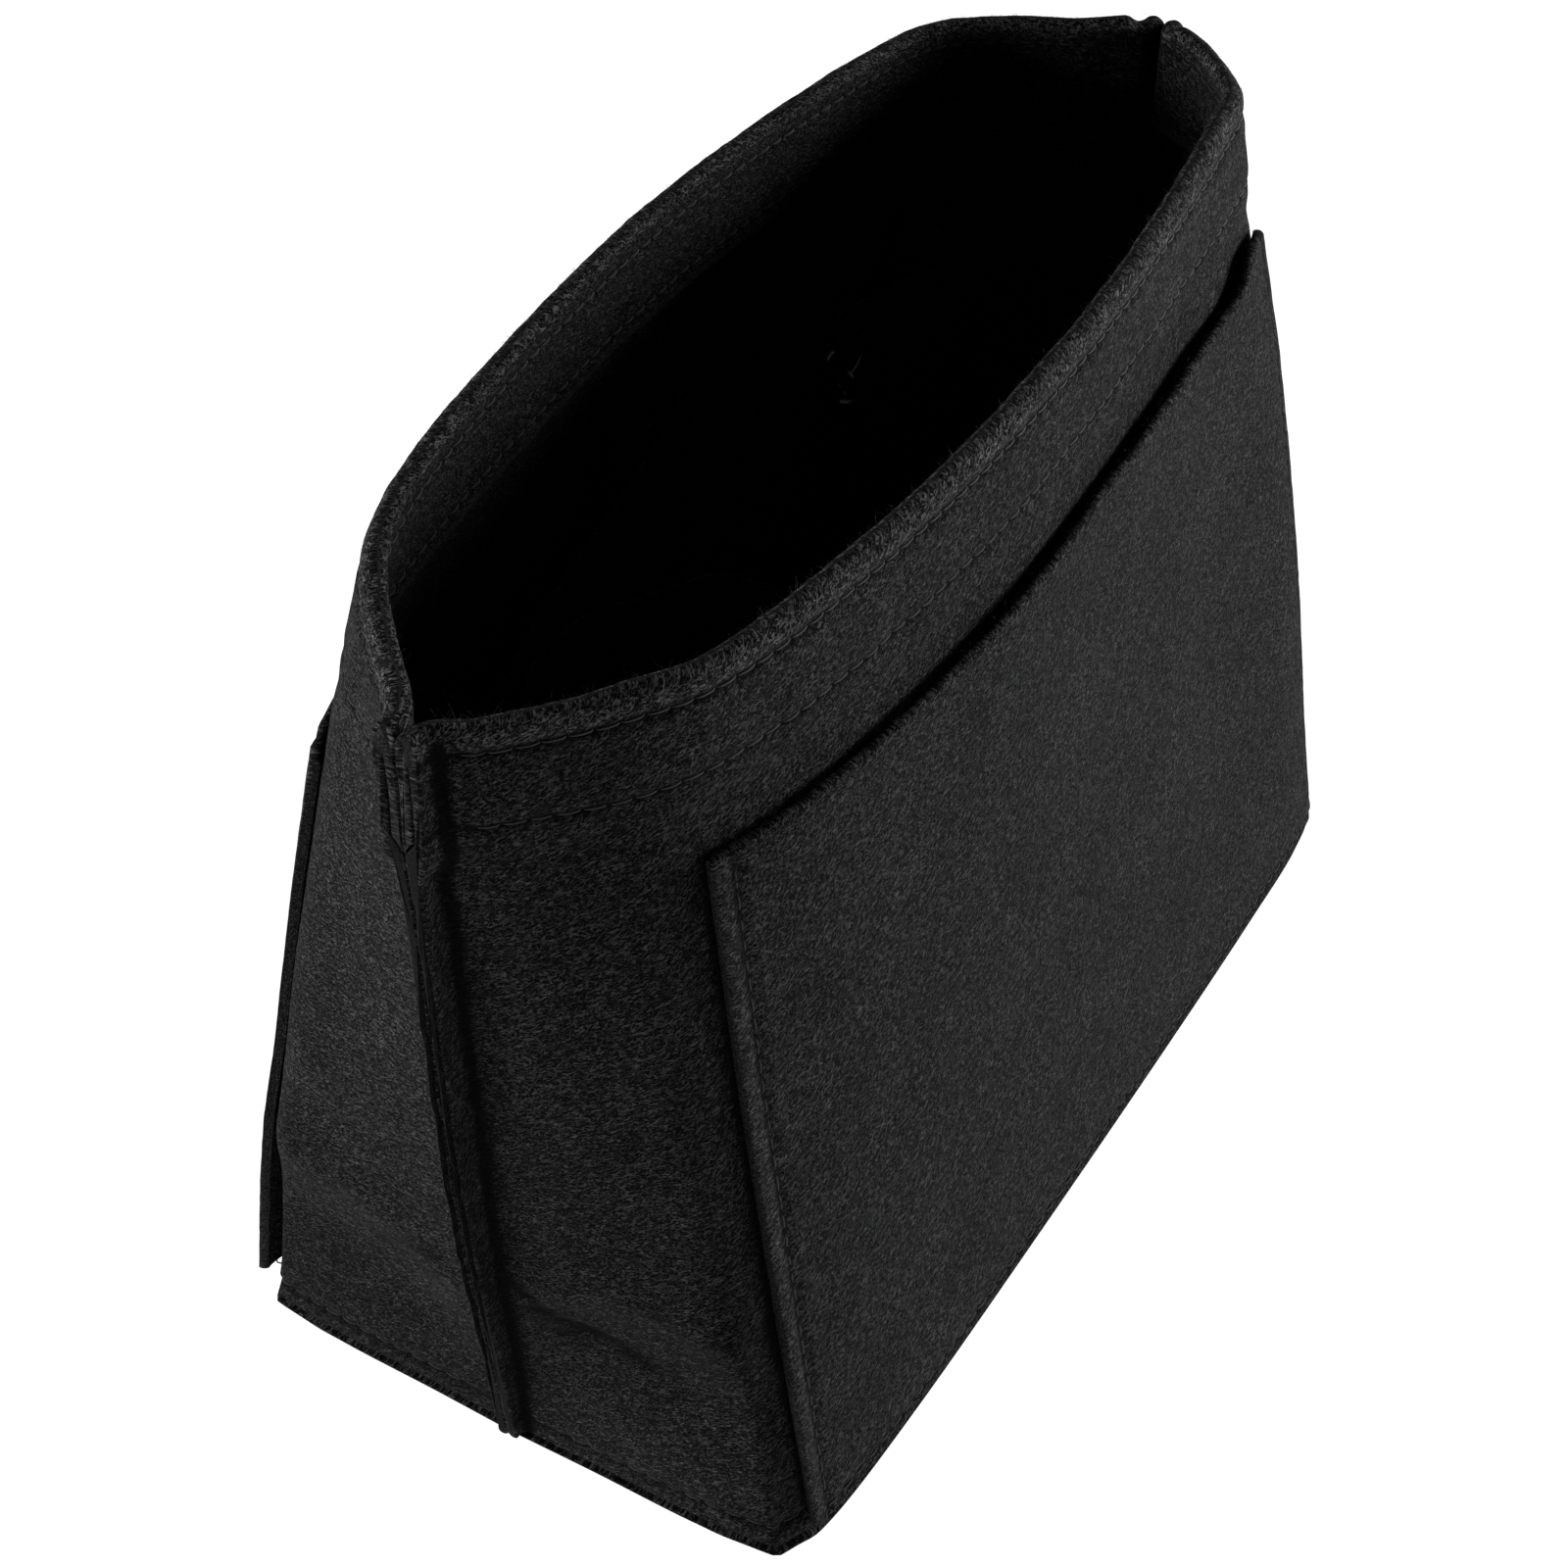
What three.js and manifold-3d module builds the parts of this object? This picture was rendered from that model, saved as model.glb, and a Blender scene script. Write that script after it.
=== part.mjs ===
// Felt purse organiser insert: an open-topped tote-shaped liner sewn from two
// wall panels, a turned-up base panel, two outer slip pockets and two pleated
// inner pocket strips, with a small swivel key clip on the rear strip.
// Units are millimetres, +Z is up, the origin is the middle of the underside.
// X runs along the length (near end -X), Y across the width (front -Y).
import * as THREE from 'three';
import Module from 'manifold-3d';
import { mergeVertices } from 'three/addons/utils/BufferGeometryUtils.js';

// ---------------------------------------------------------------- dimensions
const S = 180;             // scale of the plan tables below = overall height
const H = 180;             // overall height at the folded rim
const T = 2.0;             // felt thickness
const GAP = 0.3;           // clearance between touching pieces
const WALL_Z0 = 1.2;       // raw lower edge of the walls above the table
const FOLD_Z = 157.5;      // raw lower edge of the turned-in hem
const RIM_STITCH_Z = 175.2;
const HEM_STITCH_Z = 161.3;
const BASE_STITCH_Z = 6.2;
const FLANGE_Z = 12;       // height of the base panel's turned-up flange
const POCKET_Z0 = 4;       // lower edge of the outer pockets
const POCKET_Z1 = { '-1': 147, 1: 139.5 };              // their upper edges, front and rear
const POCKET_U = { '-1': [3.68, 9.8], 1: [3.4, 9.4] };  // from near edge to far edge
const STRIP_T = 1.8;       // felt of the inner pocket strips
const STRIP_Z0 = T + 0.4;  // the strips stand on the base panel
const STRIP_Z1 = 141;      // upper edge of the inner strips
const THREAD_W = 0.8, THREAD_H = 0.5;

// Outer-face plan outlines, as fractions of S, near seam -> far seam.
const FB = [[-0.660,0],[-0.658,-0.10],[-0.657,-0.22],[-0.649,-0.309],[-0.588,-0.332],[-0.42,-0.342],[-0.15,-0.347],[0.15,-0.350],[0.42,-0.350],[0.588,-0.345],[0.650,-0.316],[0.664,-0.22],[0.668,-0.10],[0.670,0]];
const RB = [[-0.660,0],[-0.658,0.10],[-0.657,0.22],[-0.650,0.313],[-0.590,0.336],[-0.42,0.343],[-0.15,0.346],[0.15,0.348],[0.42,0.348],[0.588,0.343],[0.650,0.314],[0.664,0.22],[0.668,0.10],[0.670,0]];
const FR = [[-0.713,0],[-0.687,-0.0505],[-0.632,-0.080],[-0.585,-0.108],[-0.510,-0.140],[-0.38,-0.178],[-0.13,-0.204],[0.12,-0.190],[0.36,-0.163],[0.52,-0.152],[0.590,-0.138],[0.640,-0.104],[0.680,-0.062],[0.707,0]];
const RR = [[-0.713,0],[-0.686,0.046],[-0.636,0.0925],[-0.570,0.143],[-0.501,0.187],[-0.37,0.2305],[-0.13,0.2645],[0.12,0.2765],[0.36,0.259],[0.50,0.240],[0.572,0.211],[0.6245,0.151],[0.6635,0.0765],[0.707,0]];
// the front rim springs outwards above the pocket
const FLARE = [[0,0],[0,0],[-0.009,-0.0095],[-0.003,-0.0195],[-0.0095,-0.0255],[-0.006,-0.0137],[0,-0.0083],[0,-0.0183],[0.001,-0.0205],[0,-0.0018],[0,0],[0.001,-0.0025],[0.002,-0.002],[0,0]];
// how far the end seams stand out of the straight line between base and rim
const LEAN_Z = [0, 3, 27, 52, 81, 110, 141, 161, 172, 180], LEAN_X = [0, 0.2, 0, -1.05, -1.1, -0.6, 0, -0.45, 0, 0.2];
// two opposite corners swell between base and rim
const SWELL = {
  1: { i: 3.3, spread: 1.2, way: [-0.64, 0.77], by: 4.0, z: [0, 15, 30, 50, 80, 110, 135, 150, 165, 180], f: [0, 0.3, 0.6, 0.9, 1, 1, 0.9, 0.75, 0.55, 0.35] },
  '-1': { i: 9.6, spread: 1.1, way: [0.5, -0.85], by: 2.6, z: [0, 15, 33, 47, 62, 76, 100, 125, 155, 180], f: [0, 0.05, 0.25, 0.5, 0.75, 0.9, 0.95, 0.85, 0.25, 0.6] },
};

// ------------------------------------------------------------------- colours
const felt = () => new THREE.MeshStandardMaterial({ color: 0x1b1b1c, roughness: 0.95, metalness: 0 });
const thread = () => new THREE.MeshStandardMaterial({ color: 0x0d0d0e, roughness: 0.55, metalness: 0 });
const steel = () => new THREE.MeshStandardMaterial({ color: 0xb9bcc0, roughness: 0.28, metalness: 1 });

// ------------------------------------------------------------- plan geometry
const clamp = (v, a, b) => Math.min(Math.max(v, a), b);
const smooth = (a, b, v) => { const t = clamp((v - a) / (b - a), 0, 1); return t * t * (3 - 2 * t); };
const seamHalf = (z) => T + 0.15 + T * smooth(150.5, 156.5, z); // outer face of a seam allowance from the seam plane

const table = (zs, vs, z) => {
  let k = 0;
  while (k < zs.length - 2 && zs[k + 1] < z) k++;
  return vs[k] + (vs[k + 1] - vs[k]) * clamp((z - zs[k]) / (zs[k + 1] - zs[k]), 0, 1);
};
// width of the seam allowances that stand out at each end
const finWidth = (z, end) => table([0, 4, 27, 52, 80, 130, 155, 180], end === 'near' ? [2.6, 2.7, 3.5, 4.5, 5, 5, 4.2, 2.9] : [2.6, 2.7, 3.5, 4.5, 5, 5, 4.0, 2.6], z);
const flareAt = (z) => table([0, 100, 157, 178, 180], [0, 0, 0.35, 1, 1], z);
const seamY = (z) => 1.2 * (z / H) ** 2;               // the near seam drifts to the rear towards the rim

function control(side, z, zeroSeam) {
  const f = z / H, B = side < 0 ? FB : RB, R = side < 0 ? FR : RR, P = [], g = side < 0 ? flareAt(z) : 0;
  const w = SWELL[side], push = table(w.z, w.f, z) * w.by, lean = table(LEAN_Z, LEAN_X, z);
  for (let i = 0; i < B.length; i++) {
    const q = push * Math.exp(-(((i - w.i) / w.spread) ** 2));
    const p = [0, 1].map((k) => S * (B[i][k] * (1 - f) + R[i][k] * f + FLARE[i][k] * g) + q * w.way[k]);
    p[0] += lean * clamp(1 - Math.abs(p[1]) / 60, 0, 1) * smooth(95, 112, Math.abs(p[0])) * (p[0] < 0 ? 1 : -0.75);
    P.push(p);
  }
  if (!zeroSeam) { P[0][1] = seamY(z) + side * seamHalf(z); P[P.length - 1][1] = side * seamHalf(z); }
  return P;
}
function crom(P, u) {
  const m = P.length, i = clamp(Math.floor(u), 0, m - 2), t = u - i;
  const q = (k) => (k < 0 ? [2 * P[0][0] - P[1][0], 2 * P[0][1] - P[1][1]] : k >= m ? [2 * P[m - 1][0] - P[m - 2][0], 2 * P[m - 1][1] - P[m - 2][1]] : P[k]);
  const a = q(i - 1), b = q(i), c = q(i + 1), d = q(i + 2);
  return [0, 1].map((k) => 0.5 * (2 * b[k] + (-a[k] + c[k]) * t + (2 * a[k] - 5 * b[k] + 4 * c[k] - d[k]) * t * t + (-a[k] + 3 * b[k] - 3 * c[k] + d[k]) * t * t * t));
}
const U_LIST = [0.35, 0.7, 1, 1.5, 2, 2.3, 2.55, 2.8, 3, 3.2, 3.4, 3.68, 4, 4.25, 4.5, 5, 5.5, 6, 6.5, 7, 7.5, 8, 8.5, 8.75, 9, 9.2, 9.4, 9.6, 9.8, 10, 10.2, 10.4, 10.65, 10.9, 11.3, 12, 12.3, 12.65];
const planCache = new Map();
// stations of a wall's outer face at height z, seam allowances included
function wallPath(side, z) {
  const key = side + ':' + z.toFixed(4);
  if (planCache.has(key)) return planCache.get(key);
  const P = control(side, z, false), n = P[0], f = P[P.length - 1], pts = [], tag = [];
  const a = crom(P, 0.35), b = crom(P, 12.65);
  const bez = (p, q, r) => [0, 1].map((k) => 0.25 * p[k] + 0.5 * q[k] + 0.25 * r[k]);
  const unit = (p, q, l) => { const dx = q[0] - p[0], dy = q[1] - p[1], L = Math.hypot(dx, dy); return [p[0] + dx / L * l, p[1] + dy / L * l]; };
  const a1 = unit(n, a, 1.5), b1 = unit(f, b, 1.5), n1 = [n[0] - 1.5, n[1]], f1 = [f[0] + 1.5, f[1]];
  const wn = finWidth(z, 'near'), wf = finWidth(z, 'far');
  pts.push([n[0] - wn, n[1]], [n[0] - 1.5 - (wn - 1.5) * 0.5, n[1]], n1, bez(n1, n, a1), a1); tag.push(-5, -4, -3, -2, -1);
  for (const u of U_LIST) { pts.push(crom(P, u)); tag.push(u); }
  pts.push(b1, bez(b1, f, f1), f1, [f[0] + 1.5 + (wf - 1.5) * 0.5, f[1]], [f[0] + wf, f[1]]); tag.push(14, 15, 16, 17, 18);
  const r = { pts, tag, nrm: normals(pts, side < 0 ? 1 : -1) };
  planCache.set(key, r);
  return r;
}
// mitred normals of an open polyline, left of travel when s = 1
function normals(pts, s, closed = false, limit = 3) {
  const N = pts.length, out = [];
  for (let i = 0; i < N; i++) {
    const seg = (p, q) => { const dx = q[0] - p[0], dy = q[1] - p[1], L = Math.hypot(dx, dy); return [-dy / L * s, dx / L * s]; };
    const a = i > 0 || closed ? seg(pts[(i - 1 + N) % N], pts[i]) : null, b = i < N - 1 || closed ? seg(pts[i], pts[(i + 1) % N]) : null;
    if (!a) { out.push(b); continue; }
    if (!b) { out.push(a); continue; }
    const mx = a[0] + b[0], my = a[1] + b[1], L = Math.hypot(mx, my), c = L / 2;
    const k = Math.min(1 / Math.max(c, 1e-3), limit) / L;
    out.push([mx * k, my * k]);
  }
  return out;
}
// a point d millimetres in from the outer face, at a station and a height
function at(side, i, z, d) {
  const w = wallPath(side, z);
  return [w.pts[i][0] + w.nrm[i][0] * d, w.pts[i][1] + w.nrm[i][1] * d, z];
}
const station = (u) => wallPath(-1, 0).tag.indexOf(u);
// the same for any value of u between the stations, following the facets
function atU(side, u, z, d) {
  const w = wallPath(side, z);
  let k = 0;
  while (k < w.tag.length - 2 && w.tag[k + 1] < u) k++;
  const t = clamp((u - w.tag[k]) / (w.tag[k + 1] - w.tag[k]), 0, 1);
  const p = at(side, k, z, d), q = at(side, k + 1, z, d);
  return [p[0] + (q[0] - p[0]) * t, p[1] + (q[1] - p[1]) * t, z];
}

// --------------------------------------------------------------- mesh making
function solidFrom(verts, tris) {
  let vol = 0;
  for (const [a, b, c] of tris) {
    const A = verts[a], B = verts[b], C = verts[c];
    vol += A[0] * (B[1] * C[2] - B[2] * C[1]) - A[1] * (B[0] * C[2] - B[2] * C[0]) + A[2] * (B[0] * C[1] - B[1] * C[0]);
  }
  const g = new THREE.BufferGeometry();
  g.setAttribute('position', new THREE.Float32BufferAttribute(verts.flat(), 3));
  g.setIndex((vol < 0 ? tris.map(([a, b, c]) => [a, c, b]) : tris).flat());
  g.computeVertexNormals();
  return g;
}
// cap triangles of a section whose point k faces its point 2n - 1 - k
const ladder = (n) => Array.from({ length: n - 1 }, (_, k) => [[k, k + 1, 2 * n - 2 - k], [k, 2 * n - 2 - k, 2 * n - 1 - k]]).flat();
// rows[i][k]: closed sections i = 0..n-1, each of k points; caps from cap2d, or given as triangles in the section's order
function loft(rows, cap2d, closed = false, capTris = null) {
  const n = rows.length, m = rows[0].length, verts = rows.flat(), tris = [];
  for (let i = 0; i < (closed ? n : n - 1); i++) for (let k = 0; k < m; k++) {
    const i2 = (i + 1) % n, k2 = (k + 1) % m, a = i * m + k, b = i * m + k2, c = i2 * m + k2, d = i2 * m + k;
    tris.push([a, b, c], [a, c, d]);
  }
  if (!closed) for (const i of [0, n - 1]) {
    if (capTris) {
      for (const f of capTris) { const t = f.map((k) => i * m + k); tris.push(i === 0 ? [t[0], t[2], t[1]] : t); }
      continue;
    }
    const flat = cap2d(i).map((p) => new THREE.Vector2(p[0], p[1]));
    const area = THREE.ShapeUtils.area(flat);
    const idx = flat.map((_, k) => k);
    const pts = area < 0 ? flat.slice().reverse() : flat, ids = area < 0 ? idx.slice().reverse() : idx;
    for (const f of THREE.ShapeUtils.triangulateShape(pts, [])) {
      const t = f.map((k) => i * m + ids[k]);
      const fwd = area > 0;
      tris.push((i === 0) === fwd ? [t[0], t[2], t[1]] : [t[0], t[1], t[2]]);
    }
  }
  return solidFrom(verts, tris);
}
const group = new THREE.Group();
function add(name, geometry, material) {
  const m = new THREE.Mesh(geometry, material);
  m.name = name;
  group.add(m);
  return m;
}

// --------------------------------------------------------------------- walls
// section of a wall: [d in from the outer face, height]
const wallSection = [
  [0, WALL_Z0], [0, 24], [0, 60], [0, 100], [0, 150.5], [0, 153.5], [0, 156.5], [0, 167], [0, H - 1.6],
  [0.55, H - 0.45], [1.5, H], [2 * T - 1.5, H], [2 * T - 0.55, H - 0.45], [2 * T, H - 1.6],
  [2 * T, 167], [2 * T, FOLD_Z], [T, FOLD_Z], [T, 156.5], [T, 153.5], [T, 150.5], [T, 100], [T, 60], [T, 24], [T, WALL_Z0],
];
// its end faces bend with the seam, so their triangles run straight across the felt
const quad = (a, b, c, d) => [[a, b, c], [a, c, d]];
const wallCap = [
  ...[0, 1, 2, 3, 4, 5].flatMap((k) => quad(k, k + 1, 22 - k, 23 - k)), [6, 7, 16], [6, 16, 17], [7, 14, 16], [14, 15, 16],
  ...quad(7, 8, 13, 14), ...quad(8, 9, 12, 13), ...quad(9, 10, 11, 12),
];
function wall(side) {
  const n = wallPath(side, 0).pts.length, rows = [];
  for (let i = 0; i < n; i++) rows.push(wallSection.map(([d, z]) => at(side, i, z, d)));
  return loft(rows, null, false, wallCap);
}
add('front_wall', wall(-1), felt());
add('rear_wall', wall(1), felt());

// ---------------------------------------------------------------- base panel
// a tray: floor, folded edge under the walls' raw edges, flange up inside them
function ringAt(z, d) {
  const f = control(-1, z, true), r = control(1, z, true), us = [0, ...U_LIST.filter((u) => u > 0.9 && u < 12.2), 13];
  const pts = us.map((u) => crom(f, u)).concat(us.slice(1, -1).reverse().map((u) => crom(r, u)));
  return pts.map((p, i, a) => { const n = normals(a, 1, true)[i]; return [p[0] + n[0] * d, p[1] + n[1] * d, z]; });
}
{
  const prof = [[-0.2, 0], [-0.6, 0.3], [-0.6, 0.85], [T + GAP, 0.9], [T + GAP, FLANGE_Z], [2 * T + GAP, FLANGE_Z], [2 * T + GAP, T]];
  const rings = prof.map(([d, z]) => ringAt(z, d));
  add('base_panel', loft(rings, (i) => rings[i]), felt());
}

// ------------------------------------------------------------- outer pockets
const across = (side, u) => Math.sin(Math.PI * clamp((u - POCKET_U[side][0]) / (POCKET_U[side][1] - POCKET_U[side][0]), 0, 1));
const pocketTop = (side, u) => POCKET_Z1[side] + 2.4 * across(side, u) + (side < 0 ? 5.2 * smooth(8.45, 9.1, u) : 0);
const belly = (side, u, f) => 1.2 * across(side, u) * f * f;
function pocketSection(side, u) {
  const zt = pocketTop(side, u), hs = [0, 0.25, 0.5, 0.75, 0.92, 1];
  const out = hs.map((f) => [-(GAP + T + belly(side, u, f)), POCKET_Z0 + f * (zt - POCKET_Z0)]);
  const inn = hs.slice().reverse().map((f) => [-(GAP + belly(side, u, f)), POCKET_Z0 + f * (zt - POCKET_Z0)]);
  return out.concat(inn);
}
function outerPocket(side) {
  const us = U_LIST.filter((u) => u >= POCKET_U[side][0] && u <= POCKET_U[side][1]);
  const secs = us.map((u) => pocketSection(side, u));
  return loft(us.map((u, i) => secs[i].map(([d, z]) => at(side, station(u), z, d))), null, false, ladder(6));
}
add('front_outer_pocket', outerPocket(-1), felt());
add('rear_outer_pocket', outerPocket(1), felt());

// ------------------------------------------------------- inner pocket strips
// centre-line distance from a wall's outer face where a strip lies against it
const CONTACT_TOP = T + GAP + 0.1 + STRIP_T / 2, CONTACT_BOT = 2 * T + 2 * GAP + 0.2 + STRIP_T / 2;
function smoothPoint(side, u, z, d) {
  const P = control(side, z, false), p = crom(P, u), a = crom(P, u - 0.01), b = crom(P, u + 0.01);
  const dx = b[0] - a[0], dy = b[1] - a[1], L = Math.hypot(dx, dy), s = side < 0 ? 1 : -1;
  return [p[0] - dy / L * s * d, p[1] + dx / L * s * d];
}
function uAtX(side, x, z) {
  const P = control(side, z, false);
  let a = 1, b = 12;
  for (let k = 0; k < 40; k++) { const m = (a + b) / 2; if (crom(P, m)[0] < x) a = m; else b = m; }
  return (a + b) / 2;
}
// path entries: ['w', xTop, xFoot] or ['u', u] against the wall,
// ['f', xTop, yTop, xFoot, yFoot] free; all as fractions of S
function stripEnds(side, e) {
  if (e[0] === 'u') return [smoothPoint(side, e[1], STRIP_Z1, CONTACT_TOP), smoothPoint(side, e[1], STRIP_Z0, CONTACT_BOT)];
  if (e[0] === 'w') return [smoothPoint(side, uAtX(side, e[1] * S, STRIP_Z1), STRIP_Z1, CONTACT_TOP), smoothPoint(side, uAtX(side, e[2] * S, STRIP_Z0), STRIP_Z0, CONTACT_BOT)];
  return [[e[1] * S, e[2] * S], [e[3] * S, e[4] * S]];
}
function stripPath(side, list, z) {
  const f = (z - STRIP_Z0) / (STRIP_Z1 - STRIP_Z0);
  return list.map((e) => { const [t, b] = stripEnds(side, e); return [b[0] + (t[0] - b[0]) * f, b[1] + (t[1] - b[1]) * f]; });
}
function strip(side, list) {
  const zs = [STRIP_Z0, 50, 100, STRIP_Z1], h = STRIP_T / 2;
  const n = list.length, rows = [];
  const lay = zs.map((z) => { const p = stripPath(side, list, z), m = normals(p, 1, false, 1.6); return p.map((q, i) => [[q[0] + m[i][0] * h, q[1] + m[i][1] * h, z], [q[0] - m[i][0] * h, q[1] - m[i][1] * h, z]]); });
  for (let i = 0; i < n; i++) rows.push(zs.map((_, k) => lay[k][i][0]).concat(zs.map((_, k) => lay[zs.length - 1 - k][i][1])));
  return loft(rows, null, false, ladder(zs.length));
}
const REAR_STRIP = [
  ['w', -0.535, -0.575], ['w', -0.512, -0.548], ['w', -0.496, -0.530], ['f', -0.470, 0.186, -0.512, 0.300], ['f', -0.459, 0.163, -0.505, 0.284],
  ['f', -0.463, 0.134, -0.507, 0.266], ['f', -0.452, 0.122, -0.495, 0.256], ['f', -0.36, 0.141, -0.37, 0.262], ['f', -0.25, 0.165, -0.25, 0.267],
  ['f', -0.12, 0.190, -0.12, 0.272], ['f', -0.03, 0.207, -0.03, 0.275], ['f', 0.030, 0.2165, 0.028, 0.276], ['f', 0.0355, 0.2285, 0.0335, 0.287],
  ['f', -0.020, 0.246, -0.022, 0.297], ['w', -0.016, -0.018], ['w', 0.020, 0.020], ['w', 0.058, 0.062], ['f', 0.073, 0.250, 0.078, 0.297],
  ['f', 0.0525, 0.2275, 0.0515, 0.286], ['f', 0.058, 0.2155, 0.057, 0.275], ['f', 0.12, 0.203, 0.12, 0.272], ['f', 0.21, 0.187, 0.21, 0.268],
  ['f', 0.307, 0.166, 0.307, 0.262], ['f', 0.40, 0.138, 0.40, 0.256], ['f', 0.478, 0.103, 0.500, 0.250], ['f', 0.492, 0.110, 0.514, 0.258],
  ['f', 0.498, 0.150, 0.518, 0.272], ['f', 0.507, 0.188, 0.527, 0.288], ['f', 0.524, 0.212, 0.545, 0.303], ['w', 0.552, 0.568], ['w', 0.568, 0.586], ['w', 0.584, 0.606],
];
const FRONT_STRIP = [
  ['u', 2.05], ['u', 1.85], ['u', 1.65], ['f', -0.610, -0.060, -0.600, -0.142], ['f', -0.565, -0.040, -0.566, -0.118], ['f', -0.526, -0.012, -0.533, -0.082], ['f', -0.496, 0.020, -0.507, -0.046],
  ['f', -0.466, 0.062, -0.477, -0.010], ['f', -0.430, 0.094, -0.440, 0.018], ['f', -0.385, 0.115, -0.395, 0.036], ['f', -0.335, 0.121, -0.345, 0.040],
  ['f', -0.286, 0.106, -0.296, 0.030], ['f', -0.23, 0.076, -0.24, 0.006], ['f', -0.185, 0.049, -0.195, -0.018], ['f', -0.172, 0.036, -0.182, -0.031],
  ['f', -0.168, -0.03, -0.178, -0.09], ['f', -0.164, -0.11, -0.174, -0.18], ['f', -0.161, -0.175, -0.171, -0.270], ['f', -0.153, -0.205, -0.163, -0.302],
  ['w', -0.137, -0.145], ['w', -0.109, -0.114], ['f', -0.097, -0.205, -0.101, -0.304], ['f', -0.092, -0.185, -0.096, -0.285], ['f', -0.092, -0.138, -0.096, -0.262],
  ['f', -0.080, -0.124, -0.084, -0.249], ['f', 0.0, -0.120, 0.0, -0.247], ['f', 0.10, -0.116, 0.10, -0.247], ['f', 0.186, -0.114, 0.186, -0.247], ['f', 0.199, -0.126, 0.199, -0.260],
  ['f', 0.200, -0.164, 0.200, -0.283], ['f', 0.207, -0.187, 0.207, -0.304], ['w', 0.222, 0.222], ['w', 0.247, 0.247], ['f', 0.262, -0.186, 0.262, -0.304],
  ['f', 0.268, -0.162, 0.269, -0.283], ['f', 0.268, -0.122, 0.270, -0.262], ['f', 0.280, -0.109, 0.283, -0.249], ['f', 0.35, -0.098, 0.35, -0.246], ['f', 0.44, -0.083, 0.44, -0.241],
  ['f', 0.498, -0.071, 0.530, -0.236], ['f', 0.511, -0.082, 0.545, -0.247], ['f', 0.516, -0.115, 0.548, -0.266], ['f', 0.521, -0.148, 0.552, -0.288], ['f', 0.533, -0.166, 0.562, -0.304],
  ['w', 0.550, 0.583], ['w', 0.562, 0.598], ['w', 0.574, 0.612],
];
add('rear_inner_pockets', strip(1, REAR_STRIP), felt());
add('front_inner_pockets', strip(-1, FRONT_STRIP), felt());

// ------------------------------------------------------------ sewing threads
// a flat line of stitching lying GAP off the felt; frames = [{ p, n }]
function threadBody(frames, w = THREAD_W, h = THREAD_H) {
  const V = (a) => new THREE.Vector3(...a);
  const rows = frames.map((f, i) => {
    const a = V(frames[Math.max(i - 1, 0)].p), b = V(frames[Math.min(i + 1, frames.length - 1)].p);
    const t = b.sub(a).normalize(), n = V(f.n).normalize(), s = new THREE.Vector3().crossVectors(n, t).normalize();
    const p = V(f.p);
    return [[0, -1], [0, 1], [1, 1], [1, -1]].map(([o, q]) => p.clone().addScaledVector(n, o * h).addScaledVector(s, q * w / 2).toArray());
  });
  return loft(rows, () => [[0, -1], [0, 1], [1, 1], [1, -1]]);
}
const outNormal = (side, i, z) => { const w = wallPath(side, z); return [-w.nrm[i][0], -w.nrm[i][1], 0]; };
function alongWall(side, z, uA, uB, depth) {
  const w = wallPath(side, z), fr = [];
  w.tag.forEach((u, i) => { if (u >= uA && u <= uB) { const n = outNormal(side, i, z), L = Math.hypot(n[0], n[1]); fr.push({ p: at(side, i, z, -depth(u)), n: n.map((c) => c / L) }); } });
  return fr;
}
for (const [name, side] of [['front', -1], ['rear', 1]]) {
  add(`${name}_rim_thread`, threadBody(alongWall(side, RIM_STITCH_Z, 0.7, 12.3, () => GAP)), thread());
  add(`${name}_hem_thread`, threadBody(alongWall(side, HEM_STITCH_Z, 0.7, 12.3, () => GAP)), thread());
  // the base seam also catches the foot of the outer pocket, so it climbs over it
  const over = (u) => (u > POCKET_U[side][0] - 0.25 && u < POCKET_U[side][1] + 0.25 ? GAP + T + GAP + 0.05 : GAP);
  add(`${name}_base_thread`, threadBody(alongWall(side, BASE_STITCH_Z, 0.7, 12.3, over)), thread());
  for (const [end, u] of [['near', side < 0 ? 4 : 3.68], ['far', side < 0 ? 9.6 : 9.2]]) {
    const i = station(u), zs = [10.5, 40, 75, 110, POCKET_Z1[side] - 5], d = (z) => -(2 * GAP + T + belly(side, u, (z - POCKET_Z0) / (pocketTop(side, u) - POCKET_Z0)) + 0.05);
    add(`${name}_pocket_${end}_thread`, threadBody(zs.map((z) => ({ p: at(side, i, z, d(z)), n: outNormal(side, i, z) }))), thread());
  }
  // seam threads run down both faces of each seam allowance, close to the corner
  for (const [end, i] of [['near', 2], ['far', wallPath(-1, 0).pts.length - 3]]) {
    const zs = [4, 15, 27, 40, 52, 66, 80, 95, 110, 125, 141, 150.5, 153.5, 156.5, 161, 167, 172, 176];
    const label = side < 0 ? 'needle' : 'bobbin';
    add(`${end}_seam_${label}_thread`, threadBody(zs.map((z) => {
      const p = at(side, i, z, -GAP), o = end === 'near' ? -0.9 : 0.9;
      return { p: [p[0] + o, p[1], z], n: [0, side, 0] };
    })), thread());
  }
}
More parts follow.
